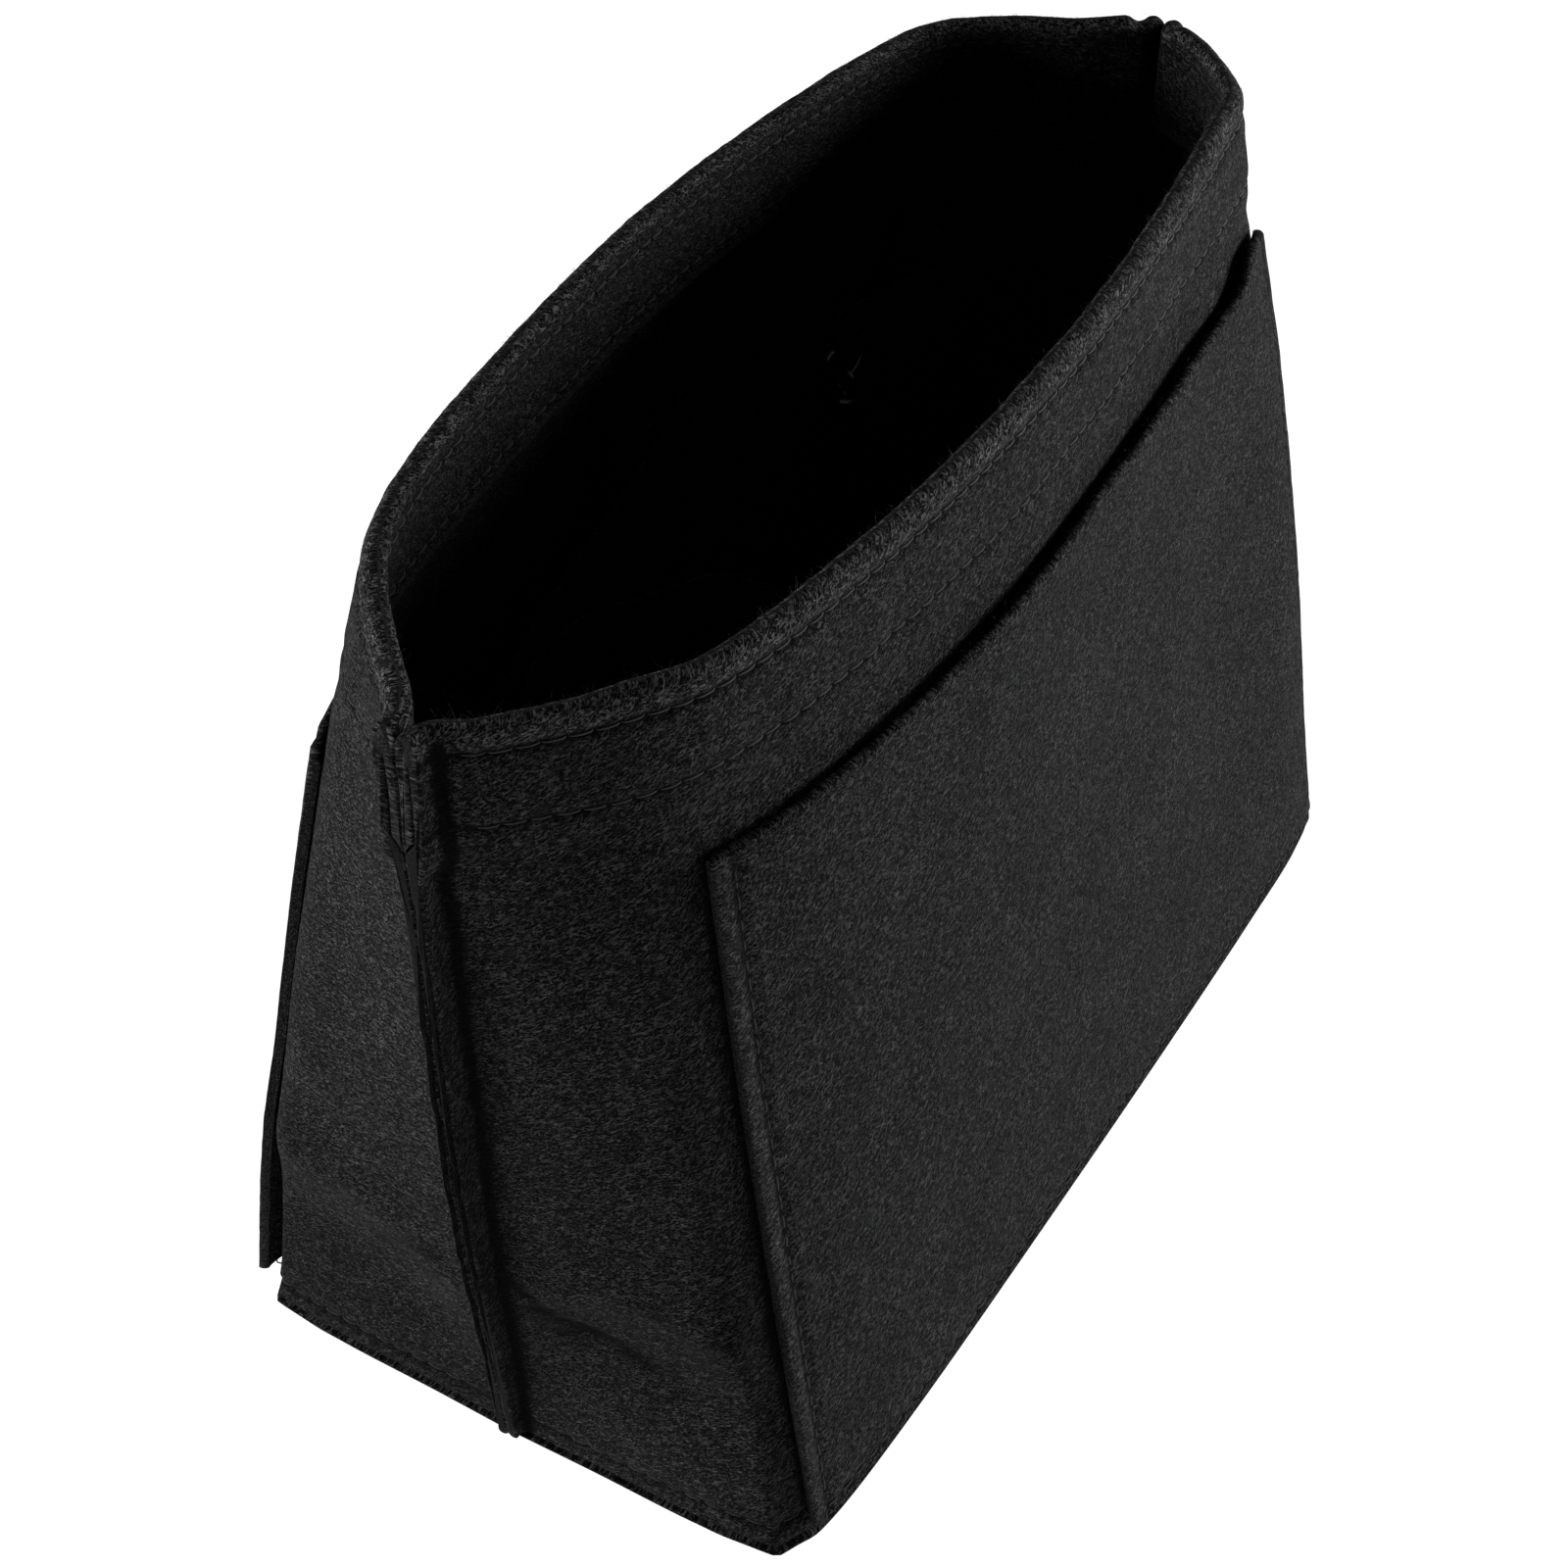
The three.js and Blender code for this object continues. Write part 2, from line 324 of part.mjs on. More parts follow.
// vertical stitching that holds the inner strips to the walls
function stripThread(side, list, k, flip = 1) {
  const zs = [16, 60, 100, 138];
  return threadBody(zs.map((z) => {
    const p = stripPath(side, list, z), a = p[k], b = p[k + 1], dx = b[0] - a[0], dy = b[1] - a[1], L = Math.hypot(dx, dy);
    const s = (side < 0 ? 1 : -1) * flip, n = [-dy / L * s, dx / L * s, 0], c = [(a[0] + b[0]) / 2, (a[1] + b[1]) / 2];
    return { p: [c[0] + n[0] * (STRIP_T / 2 + GAP + 0.15), c[1] + n[1] * (STRIP_T / 2 + GAP + 0.15), z], n };
  }));
}
for (const [name, k] of [['near', 0], ['middle', 15], ['far', REAR_STRIP.length - 2]]) add(`rear_strip_${name}_thread`, stripThread(1, REAR_STRIP, k), thread());
for (const [name, k] of [['near', 0], ['second', 19], ['third', 31], ['far', FRONT_STRIP.length - 2]]) add(`front_strip_${name}_thread`, stripThread(-1, FRONT_STRIP, k, name === 'near' ? -1 : 1), thread());
// bar tack over the pinched pleat between the two rear pockets
{
  const p = stripPath(1, REAR_STRIP, STRIP_Z1), a = p[12], b = p[18], m = [(a[0] + b[0]) / 2, (a[1] + b[1]) / 2];
  const g = new THREE.BoxGeometry(6.4, 1.2, 0.7);
  g.translate(m[0], m[1] - 0.6, STRIP_Z1 + GAP + 0.35);
  add('rear_bar_tack', g, thread());
}

// ------------------------------------------------------------------ key clip
const wasm = await Module();
wasm.setup();
function toSolid(g0) {
  let g = g0.index ? g0.toNonIndexed() : g0.clone();
  g.deleteAttribute('normal'); if (g.attributes.uv) g.deleteAttribute('uv');
  g = mergeVertices(g, 1e-4);
  return new wasm.Manifold(new wasm.Mesh({ numProp: 3, vertProperties: new Float32Array(g.attributes.position.array), triVerts: new Uint32Array(g.index.array) }));
}
function fromSolid(m) {
  const q = m.getMesh(), g = new THREE.BufferGeometry();
  g.setAttribute('position', new THREE.BufferAttribute(new Float32Array(q.vertProperties), 3));
  g.setIndex(new THREE.BufferAttribute(new Uint32Array(q.triVerts), 1));
  g.computeVertexNormals();
  return g;
}
// the clip hangs in front of the rear strip's far pocket; local a runs along
// the pocket's face, b out of it towards the middle of the bag
const CLIP_X = 50.5, CLIP_TAB_W = 6.4, WIRE = 1.5, RIBBON = 0.8;
const faceAt = (() => {
  const p = stripPath(1, REAR_STRIP, STRIP_Z1);
  for (let i = 19; i < 24; i++) if (p[i][0] <= CLIP_X && p[i + 1][0] >= CLIP_X) {
    const t = (CLIP_X - p[i][0]) / (p[i + 1][0] - p[i][0]), dx = p[i + 1][0] - p[i][0], dy = p[i + 1][1] - p[i][1], L = Math.hypot(dx, dy);
    return { y: p[i][1] + dy * t, a: [dx / L, dy / L], b: [dy / L, -dx / L] };
  }
  return null;
})();
const clipOrigin = [CLIP_X + faceAt.b[0] * (STRIP_T / 2), faceAt.y + faceAt.b[1] * (STRIP_T / 2)];
const localM = new THREE.Matrix4().makeBasis(new THREE.Vector3(-faceAt.a[0], -faceAt.a[1], 0), new THREE.Vector3(faceAt.b[0], faceAt.b[1], 0), new THREE.Vector3(0, 0, 1));
localM.setPosition(clipOrigin[0], clipOrigin[1], 0);
const place = (g) => { g.applyMatrix4(localM); return g; };

const BAR_B = GAP + RIBBON + GAP + WIRE / 2, BAR_Z = 135.6;            // D-ring bar centre
const D_W = 9.6, D_DROP = 6.6;                                         // D-ring inside the loop
// tab: a ribbon folded round the D-ring's bar, its two layers sewn together above it
{
  const r = WIRE / 2 + GAP, R = r + RIBBON, top = 140.4, sh = new THREE.Shape();
  sh.moveTo(BAR_B - R, top); sh.lineTo(BAR_B - R, BAR_Z);
  sh.absarc(BAR_B, BAR_Z, R, Math.PI, 2 * Math.PI, false);
  sh.lineTo(BAR_B + R, 137.6); sh.lineTo(BAR_B - R + 2 * RIBBON + 0.3, 138.6); sh.lineTo(BAR_B - R + 2 * RIBBON + 0.3, top); sh.lineTo(BAR_B - R, top);
  const hole = new THREE.Path(); hole.absarc(BAR_B, BAR_Z, r, 0, Math.PI * 2, false);
  sh.holes.push(hole);
  const g = new THREE.ExtrudeGeometry(sh, { depth: CLIP_TAB_W, bevelEnabled: false, curveSegments: 14 });
  const m = new THREE.Matrix4().makeBasis(new THREE.Vector3(0, 1, 0), new THREE.Vector3(0, 0, 1), new THREE.Vector3(1, 0, 0));
  g.applyMatrix4(m); g.translate(-CLIP_TAB_W / 2, 0, 0);   // drawn in b-z, extruded along a
  add('key_tab', place(fromSolid(toSolid(g))), felt());
  const th = new THREE.BoxGeometry(CLIP_TAB_W - 1.2, THREAD_H, 0.8);
  th.translate(0, BAR_B - R + 2 * RIBBON + 0.3 + GAP + THREAD_H / 2, 139.7);
  add('key_tab_thread', place(th), thread());
}
// closed round-wire loop through points
function wireLoop(pts, r, sides = 10) {
  const N = pts.length, rows = [];
  const c = new THREE.Vector3(); pts.forEach((p) => c.addScaledVector(new THREE.Vector3(...p), 1 / N));
  const nrm = new THREE.Vector3();
  for (let i = 0; i < N; i++) nrm.add(new THREE.Vector3(...pts[i]).sub(c).cross(new THREE.Vector3(...pts[(i + 1) % N]).sub(c)));
  nrm.normalize();
  for (let i = 0; i < N; i++) {
    const a = new THREE.Vector3(...pts[(i - 1 + N) % N]), b = new THREE.Vector3(...pts[(i + 1) % N]), t = b.sub(a).normalize(), o = new THREE.Vector3().crossVectors(t, nrm).normalize();
    rows.push(Array.from({ length: sides }, (_, k) => { const q = 2 * Math.PI * k / sides; return new THREE.Vector3(...pts[i]).addScaledVector(o, Math.cos(q) * r).addScaledVector(nrm, Math.sin(q) * r).toArray(); }));
  }
  return loft(rows, null, true);
}
{
  const w = D_W / 2 + WIRE / 2, pts = [];
  for (let k = 0; k <= 4; k++) pts.push([-w + 1.2 + (2 * w - 2.4) * k / 4, BAR_B, BAR_Z]);
  const e = 14;
  for (let k = 0; k <= e; k++) { const q = Math.PI * k / e; pts.push([w * Math.cos(q), BAR_B, BAR_Z - 1.0 - D_DROP * Math.sin(q)]); }
  add('d_ring', place(wireLoop(pts, WIRE / 2)), steel());
}
const D_BOTTOM = BAR_Z - 1.0 - D_DROP;       // centre of the D-ring's lowest wire
const EYE_R = 2.3, EYE_W = 1.3;              // swivel eye: radius to the wire's centre, wire
const EYE_Z = D_BOTTOM + WIRE / 2 + GAP + EYE_W / 2 - EYE_R;
const FOOT = EYE_Z - EYE_R;                  // lowest wire centre of the eye
const BAR_TOP = FOOT - 1.0;                  // top of the hook's barrel
const lathe = (pts, seg = 20) => { const g = new THREE.LatheGeometry(pts.map((p) => new THREE.Vector2(...p)), seg); g.rotateX(Math.PI / 2); g.translate(0, BAR_B, 0); return toSolid(g); };
{
  // eye ring in the b-z plane, linked through the D-ring, on a headed stud
  const ring = [];
  for (let k = 0; k < 20; k++) { const q = 2 * Math.PI * k / 20; ring.push([0, BAR_B + EYE_R * Math.cos(q), EYE_Z + EYE_R * Math.sin(q)]); }
  const stud = lathe([[0, FOOT - 5.6], [1.7, FOOT - 5.6], [1.7, FOOT - 4.4], [1.0, FOOT - 4.4], [1.0, FOOT + 0.2], [0, FOOT + 0.2]]);
  add('swivel_eye', place(fromSolid(toSolid(wireLoop(ring, EYE_W / 2, 10)).add(stud))), steel());
}
const HOOK_T = 2.8, ZT = BAR_TOP - 6.6, ZB = ZT - 17.2;                // hook plate
const PIN = { a: -2.9, z: ZT - 2.15, r: 0.7 }, SLOT = 1.5, GATE_T = 0.9;
// (x, y) outlines are drawn in a-z and extruded through the hook's thickness
const flat = (shape, thick, mid = 0) => { const g = new THREE.ExtrudeGeometry(shape, { depth: thick, bevelEnabled: false, curveSegments: 10 }); g.rotateX(Math.PI / 2); g.translate(0, BAR_B + mid + thick / 2, 0); return g; };
{
  const barrel = lathe([[0, BAR_TOP - 7.2], [2.4, BAR_TOP - 7.2], [2.7, BAR_TOP - 6.6], [2.7, BAR_TOP - 0.5], [2.3, BAR_TOP], [0, BAR_TOP]]);
  const bore = lathe([[0, FOOT - 5.95], [2.05, FOOT - 5.95], [2.05, FOOT - 4.05], [1.35, FOOT - 4.05], [1.35, BAR_TOP + 1], [0, BAR_TOP + 1]]);
  const J = new THREE.Shape();
  J.moveTo(-4.4, ZT - 0.2); J.lineTo(2.4, ZT); J.lineTo(4.2, ZT - 2.2);
  J.bezierCurveTo(5.5, ZT - 6, 5.5, ZB + 6.2, 4.8, ZB + 3.2);
  J.bezierCurveTo(3.6, ZB - 0.8, -3.6, ZB - 0.8, -4.6, ZB + 3.4);
  J.lineTo(-4.9, ZB + 5.2); J.lineTo(-3.3, ZB + 5.4);
  J.bezierCurveTo(-2.9, ZB + 1.0, 2.4, ZB + 0.8, 3.1, ZB + 4.0);
  J.bezierCurveTo(3.8, ZB + 7, 3.5, ZT - 6.4, 2.6, ZT - 5.2);
  J.lineTo(-0.2, ZT - 4.2); J.lineTo(-4.4, ZT - 4.2); J.lineTo(-4.4, ZT - 0.2);
  const slot = new THREE.BoxGeometry(4.8, SLOT, 4.0); slot.translate(-3.0, BAR_B, ZT - 0.75 - 2.0);
  const hole = new THREE.CylinderGeometry(PIN.r + GAP, PIN.r + GAP, 6, 16); hole.translate(PIN.a, BAR_B, PIN.z);
  const body = barrel.add(toSolid(flat(J, HOOK_T))).subtract(bore).subtract(toSolid(slot)).subtract(toSolid(hole));
  add('snap_hook', place(fromSolid(body)), steel());
}
{
  const g = new THREE.Shape(), r = 1.35;
  g.moveTo(-4.2, PIN.z - 0.4); g.lineTo(-4.4, ZB + 5.95); g.lineTo(-2.85, ZB + 6.0); g.lineTo(-2.8, ZB + 4.6); g.lineTo(-2.0, ZB + 4.6);
  g.lineTo(-2.05, PIN.z - 0.9); g.absarc(PIN.a, PIN.z, r, -0.55, Math.PI + 0.3, false); g.lineTo(-4.2, PIN.z - 0.4);
  const hole = new THREE.Path(); hole.absarc(PIN.a, PIN.z, PIN.r + GAP, 0, Math.PI * 2, false); g.holes.push(hole);
  add('hook_gate', place(fromSolid(toSolid(flat(g, GATE_T)))), steel());
  const pin = new THREE.CylinderGeometry(PIN.r, PIN.r, HOOK_T + 0.2, 16); pin.translate(PIN.a, BAR_B, PIN.z);
  add('gate_pin', place(fromSolid(toSolid(pin))), steel());
  const leaf = new THREE.Shape(), L = [[-0.95, ZT - 1.1], [-0.95, ZT - 3.2], [-1.05, ZT - 5.2], [-1.0, ZT - 7.4]];
  leaf.moveTo(L[0][0] - 0.12, L[0][1]); L.slice(1).forEach((p) => leaf.lineTo(p[0] - 0.12, p[1]));
  L.slice().reverse().forEach((p) => leaf.lineTo(p[0] + 0.12, p[1])); leaf.lineTo(L[0][0] - 0.12, L[0][1]);
  add('gate_spring', place(fromSolid(toSolid(flat(leaf, 0.8)))), steel());
}
export default group;
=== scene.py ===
import math

import bpy
import numpy as np
from mathutils import Matrix, Vector


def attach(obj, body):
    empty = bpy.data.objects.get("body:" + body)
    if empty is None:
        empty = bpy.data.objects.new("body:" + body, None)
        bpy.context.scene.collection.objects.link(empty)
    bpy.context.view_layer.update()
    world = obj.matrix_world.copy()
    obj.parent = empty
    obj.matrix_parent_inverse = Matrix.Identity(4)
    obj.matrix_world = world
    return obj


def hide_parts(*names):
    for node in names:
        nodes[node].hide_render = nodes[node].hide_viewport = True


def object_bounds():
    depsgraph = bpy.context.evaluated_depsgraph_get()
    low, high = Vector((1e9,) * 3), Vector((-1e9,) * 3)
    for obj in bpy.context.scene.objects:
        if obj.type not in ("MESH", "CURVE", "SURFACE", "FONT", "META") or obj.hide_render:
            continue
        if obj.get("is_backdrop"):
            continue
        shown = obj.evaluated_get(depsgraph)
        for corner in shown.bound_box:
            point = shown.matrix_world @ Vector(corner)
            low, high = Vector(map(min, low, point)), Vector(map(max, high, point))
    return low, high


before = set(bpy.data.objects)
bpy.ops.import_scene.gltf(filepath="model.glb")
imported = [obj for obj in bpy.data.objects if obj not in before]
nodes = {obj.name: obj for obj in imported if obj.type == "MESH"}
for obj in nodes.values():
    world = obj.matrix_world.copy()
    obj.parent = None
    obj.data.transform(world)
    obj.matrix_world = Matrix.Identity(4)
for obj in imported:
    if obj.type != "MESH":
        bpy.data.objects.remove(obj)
cad_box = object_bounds()
MM = 0.001

# ------------------------------------------------------------------ camera
AZ, EL, ROLL = math.radians(-60.078), math.radians(41.729), math.radians(0.702)
back = Vector((math.sin(AZ) * math.cos(EL), -math.cos(AZ) * math.cos(EL), math.sin(EL)))
right0 = Vector((math.cos(AZ), math.sin(AZ), 0.0))
up0 = back.cross(right0)
right = math.cos(ROLL) * right0 + math.sin(ROLL) * up0
up = -math.sin(ROLL) * right0 + math.cos(ROLL) * up0
target = Vector((-0.029, 0.051, 0.392)) * 0.18
eye = target + back * (3.137 * 0.18)
cam_data = bpy.data.cameras.new("camera")
cam_data.sensor_width = 36.0
cam_data.sensor_fit = "HORIZONTAL"
cam_data.lens = 2924.209 / 1600.0 * 36.0
cam_data.clip_start, cam_data.clip_end = 0.01, 50.0
cam = bpy.data.objects.new("camera", cam_data)
cam.matrix_world = Matrix((
    (right.x, up.x, back.x, eye.x),
    (right.y, up.y, back.y, eye.y),
    (right.z, up.z, back.z, eye.z),
    (0, 0, 0, 1)))
bpy.context.scene.collection.objects.link(cam)
bpy.context.scene.camera = cam

# -------------------------------------------------- dimensions, millimetres
S = H = 180.0
T, GAP = 2.0, 0.3
WALL_Z0, FOLD_Z = 1.2, 157.5
RIM_STITCH_Z, HEM_STITCH_Z, BASE_STITCH_Z = 175.2, 161.3, 6.2
FLANGE_Z = 12.0
POCKET_Z0, POCKET_Z1 = 4.0, {-1: 147.0, 1: 139.5}
POCKET_U = {-1: (3.68, 9.8), 1: (3.4, 9.4)}
STRIP_T, STRIP_Z0, STRIP_Z1 = 1.8, T + 0.4, 141.0

FB = [[-0.660, 0], [-0.658, -0.10], [-0.657, -0.22], [-0.649, -0.309], [-0.588, -0.332], [-0.42, -0.342], [-0.15, -0.347],
      [0.15, -0.350], [0.42, -0.350], [0.588, -0.345], [0.650, -0.316], [0.664, -0.22], [0.668, -0.10], [0.670, 0]]
RB = [[-0.660, 0], [-0.658, 0.10], [-0.657, 0.22], [-0.650, 0.313], [-0.590, 0.336], [-0.42, 0.343], [-0.15, 0.346],
      [0.15, 0.348], [0.42, 0.348], [0.588, 0.343], [0.650, 0.314], [0.664, 0.22], [0.668, 0.10], [0.670, 0]]
FR = [[-0.713, 0], [-0.687, -0.0505], [-0.632, -0.080], [-0.585, -0.108], [-0.510, -0.140], [-0.38, -0.178], [-0.13, -0.204],
      [0.12, -0.190], [0.36, -0.163], [0.52, -0.152], [0.590, -0.138], [0.640, -0.104], [0.680, -0.062], [0.707, 0]]
RR = [[-0.713, 0], [-0.686, 0.046], [-0.636, 0.0925], [-0.570, 0.143], [-0.501, 0.187], [-0.37, 0.2305], [-0.13, 0.2645],
      [0.12, 0.2765], [0.36, 0.259], [0.50, 0.240], [0.572, 0.211], [0.6245, 0.151], [0.6635, 0.0765], [0.707, 0]]
# the front rim springs outwards above the pocket
FLARE = np.array([[0, 0], [0, 0], [-0.009, -0.0095], [-0.003, -0.0195], [-0.0095, -0.0255], [-0.006, -0.0137], [0, -0.0083], [0, -0.0183],
                  [0.001, -0.0205], [0, -0.0018], [0, 0], [0.001, -0.0025], [0.002, -0.002], [0, 0]]) * S
FB, RB, FR, RR = (np.array(t) * S for t in (FB, RB, FR, RR))


def smooth(a, b, v):
    t = np.clip((np.asarray(v, float) - a) / (b - a), 0, 1)
    return t * t * (3 - 2 * t)


def noise(x, y, seed):
    """Smooth value noise, -1 to 1."""
    tab = np.random.RandomState(seed).rand(128, 128) * 2 - 1
    x, y = np.broadcast_arrays(np.asarray(x, float), np.asarray(y, float))
    xi, yi = np.floor(x).astype(int), np.floor(y).astype(int)
    fx, fy = x - xi, y - yi
    fx, fy = fx * fx * (3 - 2 * fx), fy * fy * (3 - 2 * fy)
    g = lambda a, b: tab[a % 128, b % 128]
    return (g(xi, yi) * (1 - fx) + g(xi + 1, yi) * fx) * (1 - fy) + (g(xi, yi + 1) * (1 - fx) + g(xi + 1, yi + 1) * fx) * fy


def seam_y(z):
    return 1.2 * (np.asarray(z, float) / H) ** 2                # the near seam drifts to the rear towards the rim


def seam_half(z):
    return T + 0.15 + T * smooth(150.5, 156.5, z)


# how far the end seams stand out of the straight line between base and rim
BULGE_Z = np.array([0, 3, 27, 52, 81, 110, 141, 161, 172, 180.0])
BULGE_X = np.array([0, 0.2, 0, -1.05, -1.1, -0.6, 0, -0.45, 0, 0.2])
# two opposite corners swell between base and rim: (control point, spread, direction, millimetres, heights, shares)
SWELL = {1: (3.3, 1.2, (-0.64, 0.77), 4.0, [0, 15, 30, 50, 80, 110, 135, 150, 165, 180], [0, 0.3, 0.6, 0.9, 1, 1, 0.9, 0.75, 0.55, 0.35]),
         -1: (9.6, 1.1, (0.5, -0.85), 2.6, [0, 15, 33, 47, 62, 76, 100, 125, 155, 180], [0, 0.05, 0.25, 0.5, 0.75, 0.9, 0.95, 0.85, 0.25, 0.6])}


def control(side, z, zero=False):
    """(rows, 14, 2) control points of the outer face's outline at heights z."""
    z = np.atleast_1d(np.asarray(z, float))
    f = (z / H)[:, None, None]
    B, R = (FB, FR) if side < 0 else (RB, RR)
    P = B[None] * (1 - f) + R[None] * f
    if side < 0:
        P = P + FLARE[None] * np.interp(z, [0, 100, 157, 178, 180], [0, 0, 0.35, 1, 1])[:, None, None]
    i0, spread, way, amount, hs, share = SWELL[side]
    i = np.arange(14)
    P = P + np.interp(z, hs, share)[:, None, None] * amount * np.exp(-((i - i0) / spread) ** 2)[None, :, None] * np.array(way)
    lean = np.interp(z, BULGE_Z, BULGE_X)[:, None]
    w = np.clip(1 - np.abs(P[..., 1]) / 60, 0, 1) * smooth(95, 112, np.abs(P[..., 0]))
    P[..., 0] += lean * w * np.where(P[..., 0] < 0, 1.0, -0.75)
    if not zero:
        P[:, 0, 1] = seam_y(z) + side * seam_half(z)
        P[:, -1, 1] = side * seam_half(z)
    return P


def crom(P, u):
    u = np.atleast_1d(np.asarray(u, float))
    m = P.shape[-2]
    Q = np.concatenate([2 * P[..., :1, :] - P[..., 1:2, :], P, 2 * P[..., -1:, :] - P[..., -2:-1, :]], axis=-2)
    i = np.clip(np.floor(u).astype(int), 0, m - 2)
    t = (u - i)[:, None]
    a, b, c, d = (Q[..., i + k, :] for k in range(4))
    return 0.5 * (2 * b + (c - a) * t + (2 * a - 5 * b + 4 * c - d) * t * t + (3 * b - a - 3 * c + d) * t ** 3)


def end_shape(p, z):
    """The crease that lets the ends fold, as a push in x."""
    x, y = p[..., 0], p[..., 1]
    zz = np.broadcast_to(z, x.shape)
    a = np.abs(y)
    side = np.sign(x)
    # the crease runs out from the seam, up a little and down again to the corners
    zc = np.where(y < 0, 46.5 + 9.5 * smooth(0, 22, a) - 9 * smooth(26, 58, a), 41.5 + 8.5 * smooth(2, 36, a))
    t = (zz - zc)
    ridge = 1.9 * np.exp(-np.abs(t) ** 1.5 / 26.0) * smooth(3, 14, a) * (1 - smooth(48, 60, a)) * smooth(95, 112, np.abs(x))
    hollow = -1.9 * np.exp(-((t + 19) / 13.0) ** 2) * smooth(0, 20, a) * (1 - smooth(44, 58, a)) * smooth(95, 112, np.abs(x))
    out = p.copy()
    out[..., 0] = x + side * (ridge + hollow) * 0.9
    return out


def plain_outline(side, z, u, zero=False):
    """Spline through the control points, drawn nearly to a sharp corner at the base's near end."""
    z = np.atleast_1d(np.asarray(z, float))
    u = np.atleast_1d(np.asarray(u, float))
    P = control(side, z, zero)
    c = crom(P, u)
    i = np.clip(np.floor(u).astype(int), 0, 12)
    t = (u - i)[:, None]
    straight = P[:, i] * (1 - t) + P[:, i + 1] * t
    k = 0.85 * (1 - smooth(4, 60, z))[:, None] * np.exp(-((u - 3.0) / 0.75) ** 4)[None]
    return c * (1 - k[..., None]) + straight * k[..., None]


def outline(side, z, u, zero=False):
    z = np.atleast_1d(np.asarray(z, float))
    return end_shape(plain_outline(side, z, u, zero), z[:, None])


# stations along the panels, about a millimetre apart
def stations(step):
    u = np.linspace(0.35, 12.65, 3000)
    p = crom(control(-1, [90.0]), u)[0]
    s = np.concatenate([[0], np.cumsum(np.hypot(*np.diff(p, axis=0).T))])
    n = int(round(s[-1] / step))
    return np.interp(np.linspace(0, s[-1], n), s, u)


U_FINE = stations(1.04)
FIN_T = np.array([1.0, 0.94, 0.8, 0.62, 0.42])          # along the seam allowance, tip first


def fin_width(z, end):
    return np.interp(z, [0, 4, 27, 52, 80, 130, 155, 180], [2.3, 2.5, 3.5, 4.5, 5, 5, 4.2, 2.9] if end == "near" else [2.3, 2.5, 3.5, 4.5, 5, 5, 4.0, 2.3])


def wall_outline(side, z):
    """Outer-face outline rows (K, N, 2), and the seam root's place in it."""
    z = np.atleast_1d(np.asarray(z, float))
    K = len(z)
    ends = outline(side, z, [0.0, 0.35, 12.65, 13.0])
    n, a, b, f = (ends[:, k] for k in range(4))
    leg = 1.5
    def toward(p, q, l):
        v = q - p
        return p + v / np.linalg.norm(v, axis=1, keepdims=True) * l
    a1, b1 = toward(n, a, leg), toward(f, b, leg)
    ex = np.array([1.0, 0.0])
    n1, f1 = n - ex * leg, f + ex * leg
    w, wf = fin_width(z, "near")[:, None], fin_width(z, "far")[:, None]
    cols = []
    for t in FIN_T:
        cols.append(n1 - ex * ((w - leg).clip(0.15) * t))
    q = np.linspace(0, 1, 8)
    for t in q:
        cols.append((1 - t) ** 2 * n1 + 2 * t * (1 - t) * n + t * t * a1)
    for t in (0.35, 0.7):
        cols.append(a1 * (1 - t) + a * t)
    A = np.stack(cols, axis=1)
    mid = outline(side, z, U_FINE)
    cols = []
    for t in (0.7, 0.35):
        cols.append(b1 * (1 - t) + b * t)
    for t in q[::-1]:
        cols.append((1 - t) ** 2 * f1 + 2 * t * (1 - t) * f + t * t * b1)
    for t in FIN_T[::-1]:
        cols.append(f1 + ex * ((wf - leg).clip(0.15) * t))
    B = np.stack(cols, axis=1)
    return np.concatenate([A, mid, B], axis=1)


N_END = len(FIN_T) + 8 + 2


def inward(P, side):
    """Unit normals of outline rows, towards the inside of the bag."""
    d = np.zeros_like(P)
    d[:, 1:-1] = P[:, 2:] - P[:, :-2]
    d[:, 0], d[:, -1] = P[:, 1] - P[:, 0], P[:, -1] - P[:, -2]
    d /= np.linalg.norm(d, axis=2, keepdims=True)
    s = 1 if side < 0 else -1
    return np.stack([-d[..., 1] * s, d[..., 0] * s], axis=2)


def arc_s(P):
    """Arc length from the near seam root along each row."""
    s = np.concatenate([np.zeros((len(P), 1)), np.cumsum(np.linalg.norm(np.diff(P, axis=1), axis=2), axis=1)], axis=1)
    return s - s[:, N_END:N_END + 1]


class Panel:
    """A wall's outer face at one height, for laying stitches and fibres along it."""
    cache = {}

    def __init__(self, side, z):
        self.P = wall_outline(side, [z])
        self.n = -inward(self.P, side)[0]
        self.s = arc_s(self.P)[0]
        self.P = self.P[0]
        self.z = z
        u = np.full(len(self.s), np.nan)
        u[N_END:N_END + len(U_FINE)] = U_FINE
        self.u = np.interp(np.arange(len(u)), np.flatnonzero(~np.isnan(u)), U_FINE)

    def at(self, s, h=0.0):
        p = np.stack([np.interp(s, self.s, self.P[:, k]) for k in (0, 1)], 1)
        n = np.stack([np.interp(s, self.s, self.n[:, k]) for k in (0, 1)], 1)
        n /= np.linalg.norm(n, axis=1, keepdims=True)
        z = np.full((len(p), 1), self.z)
        return np.hstack([p + n * np.reshape(h, (-1, 1)), z]), np.hstack([n, z * 0])


def panel(side, z):
    k = (side, round(float(z), 4))
    if k not in Panel.cache:
        Panel.cache[k] = Panel(side, z)
    return Panel.cache[k]


# ---------------------------------------------------------------- stitches
PITCH = 4.05
HOLE0 = 1.3                                             # first needle hole, from the near seam root


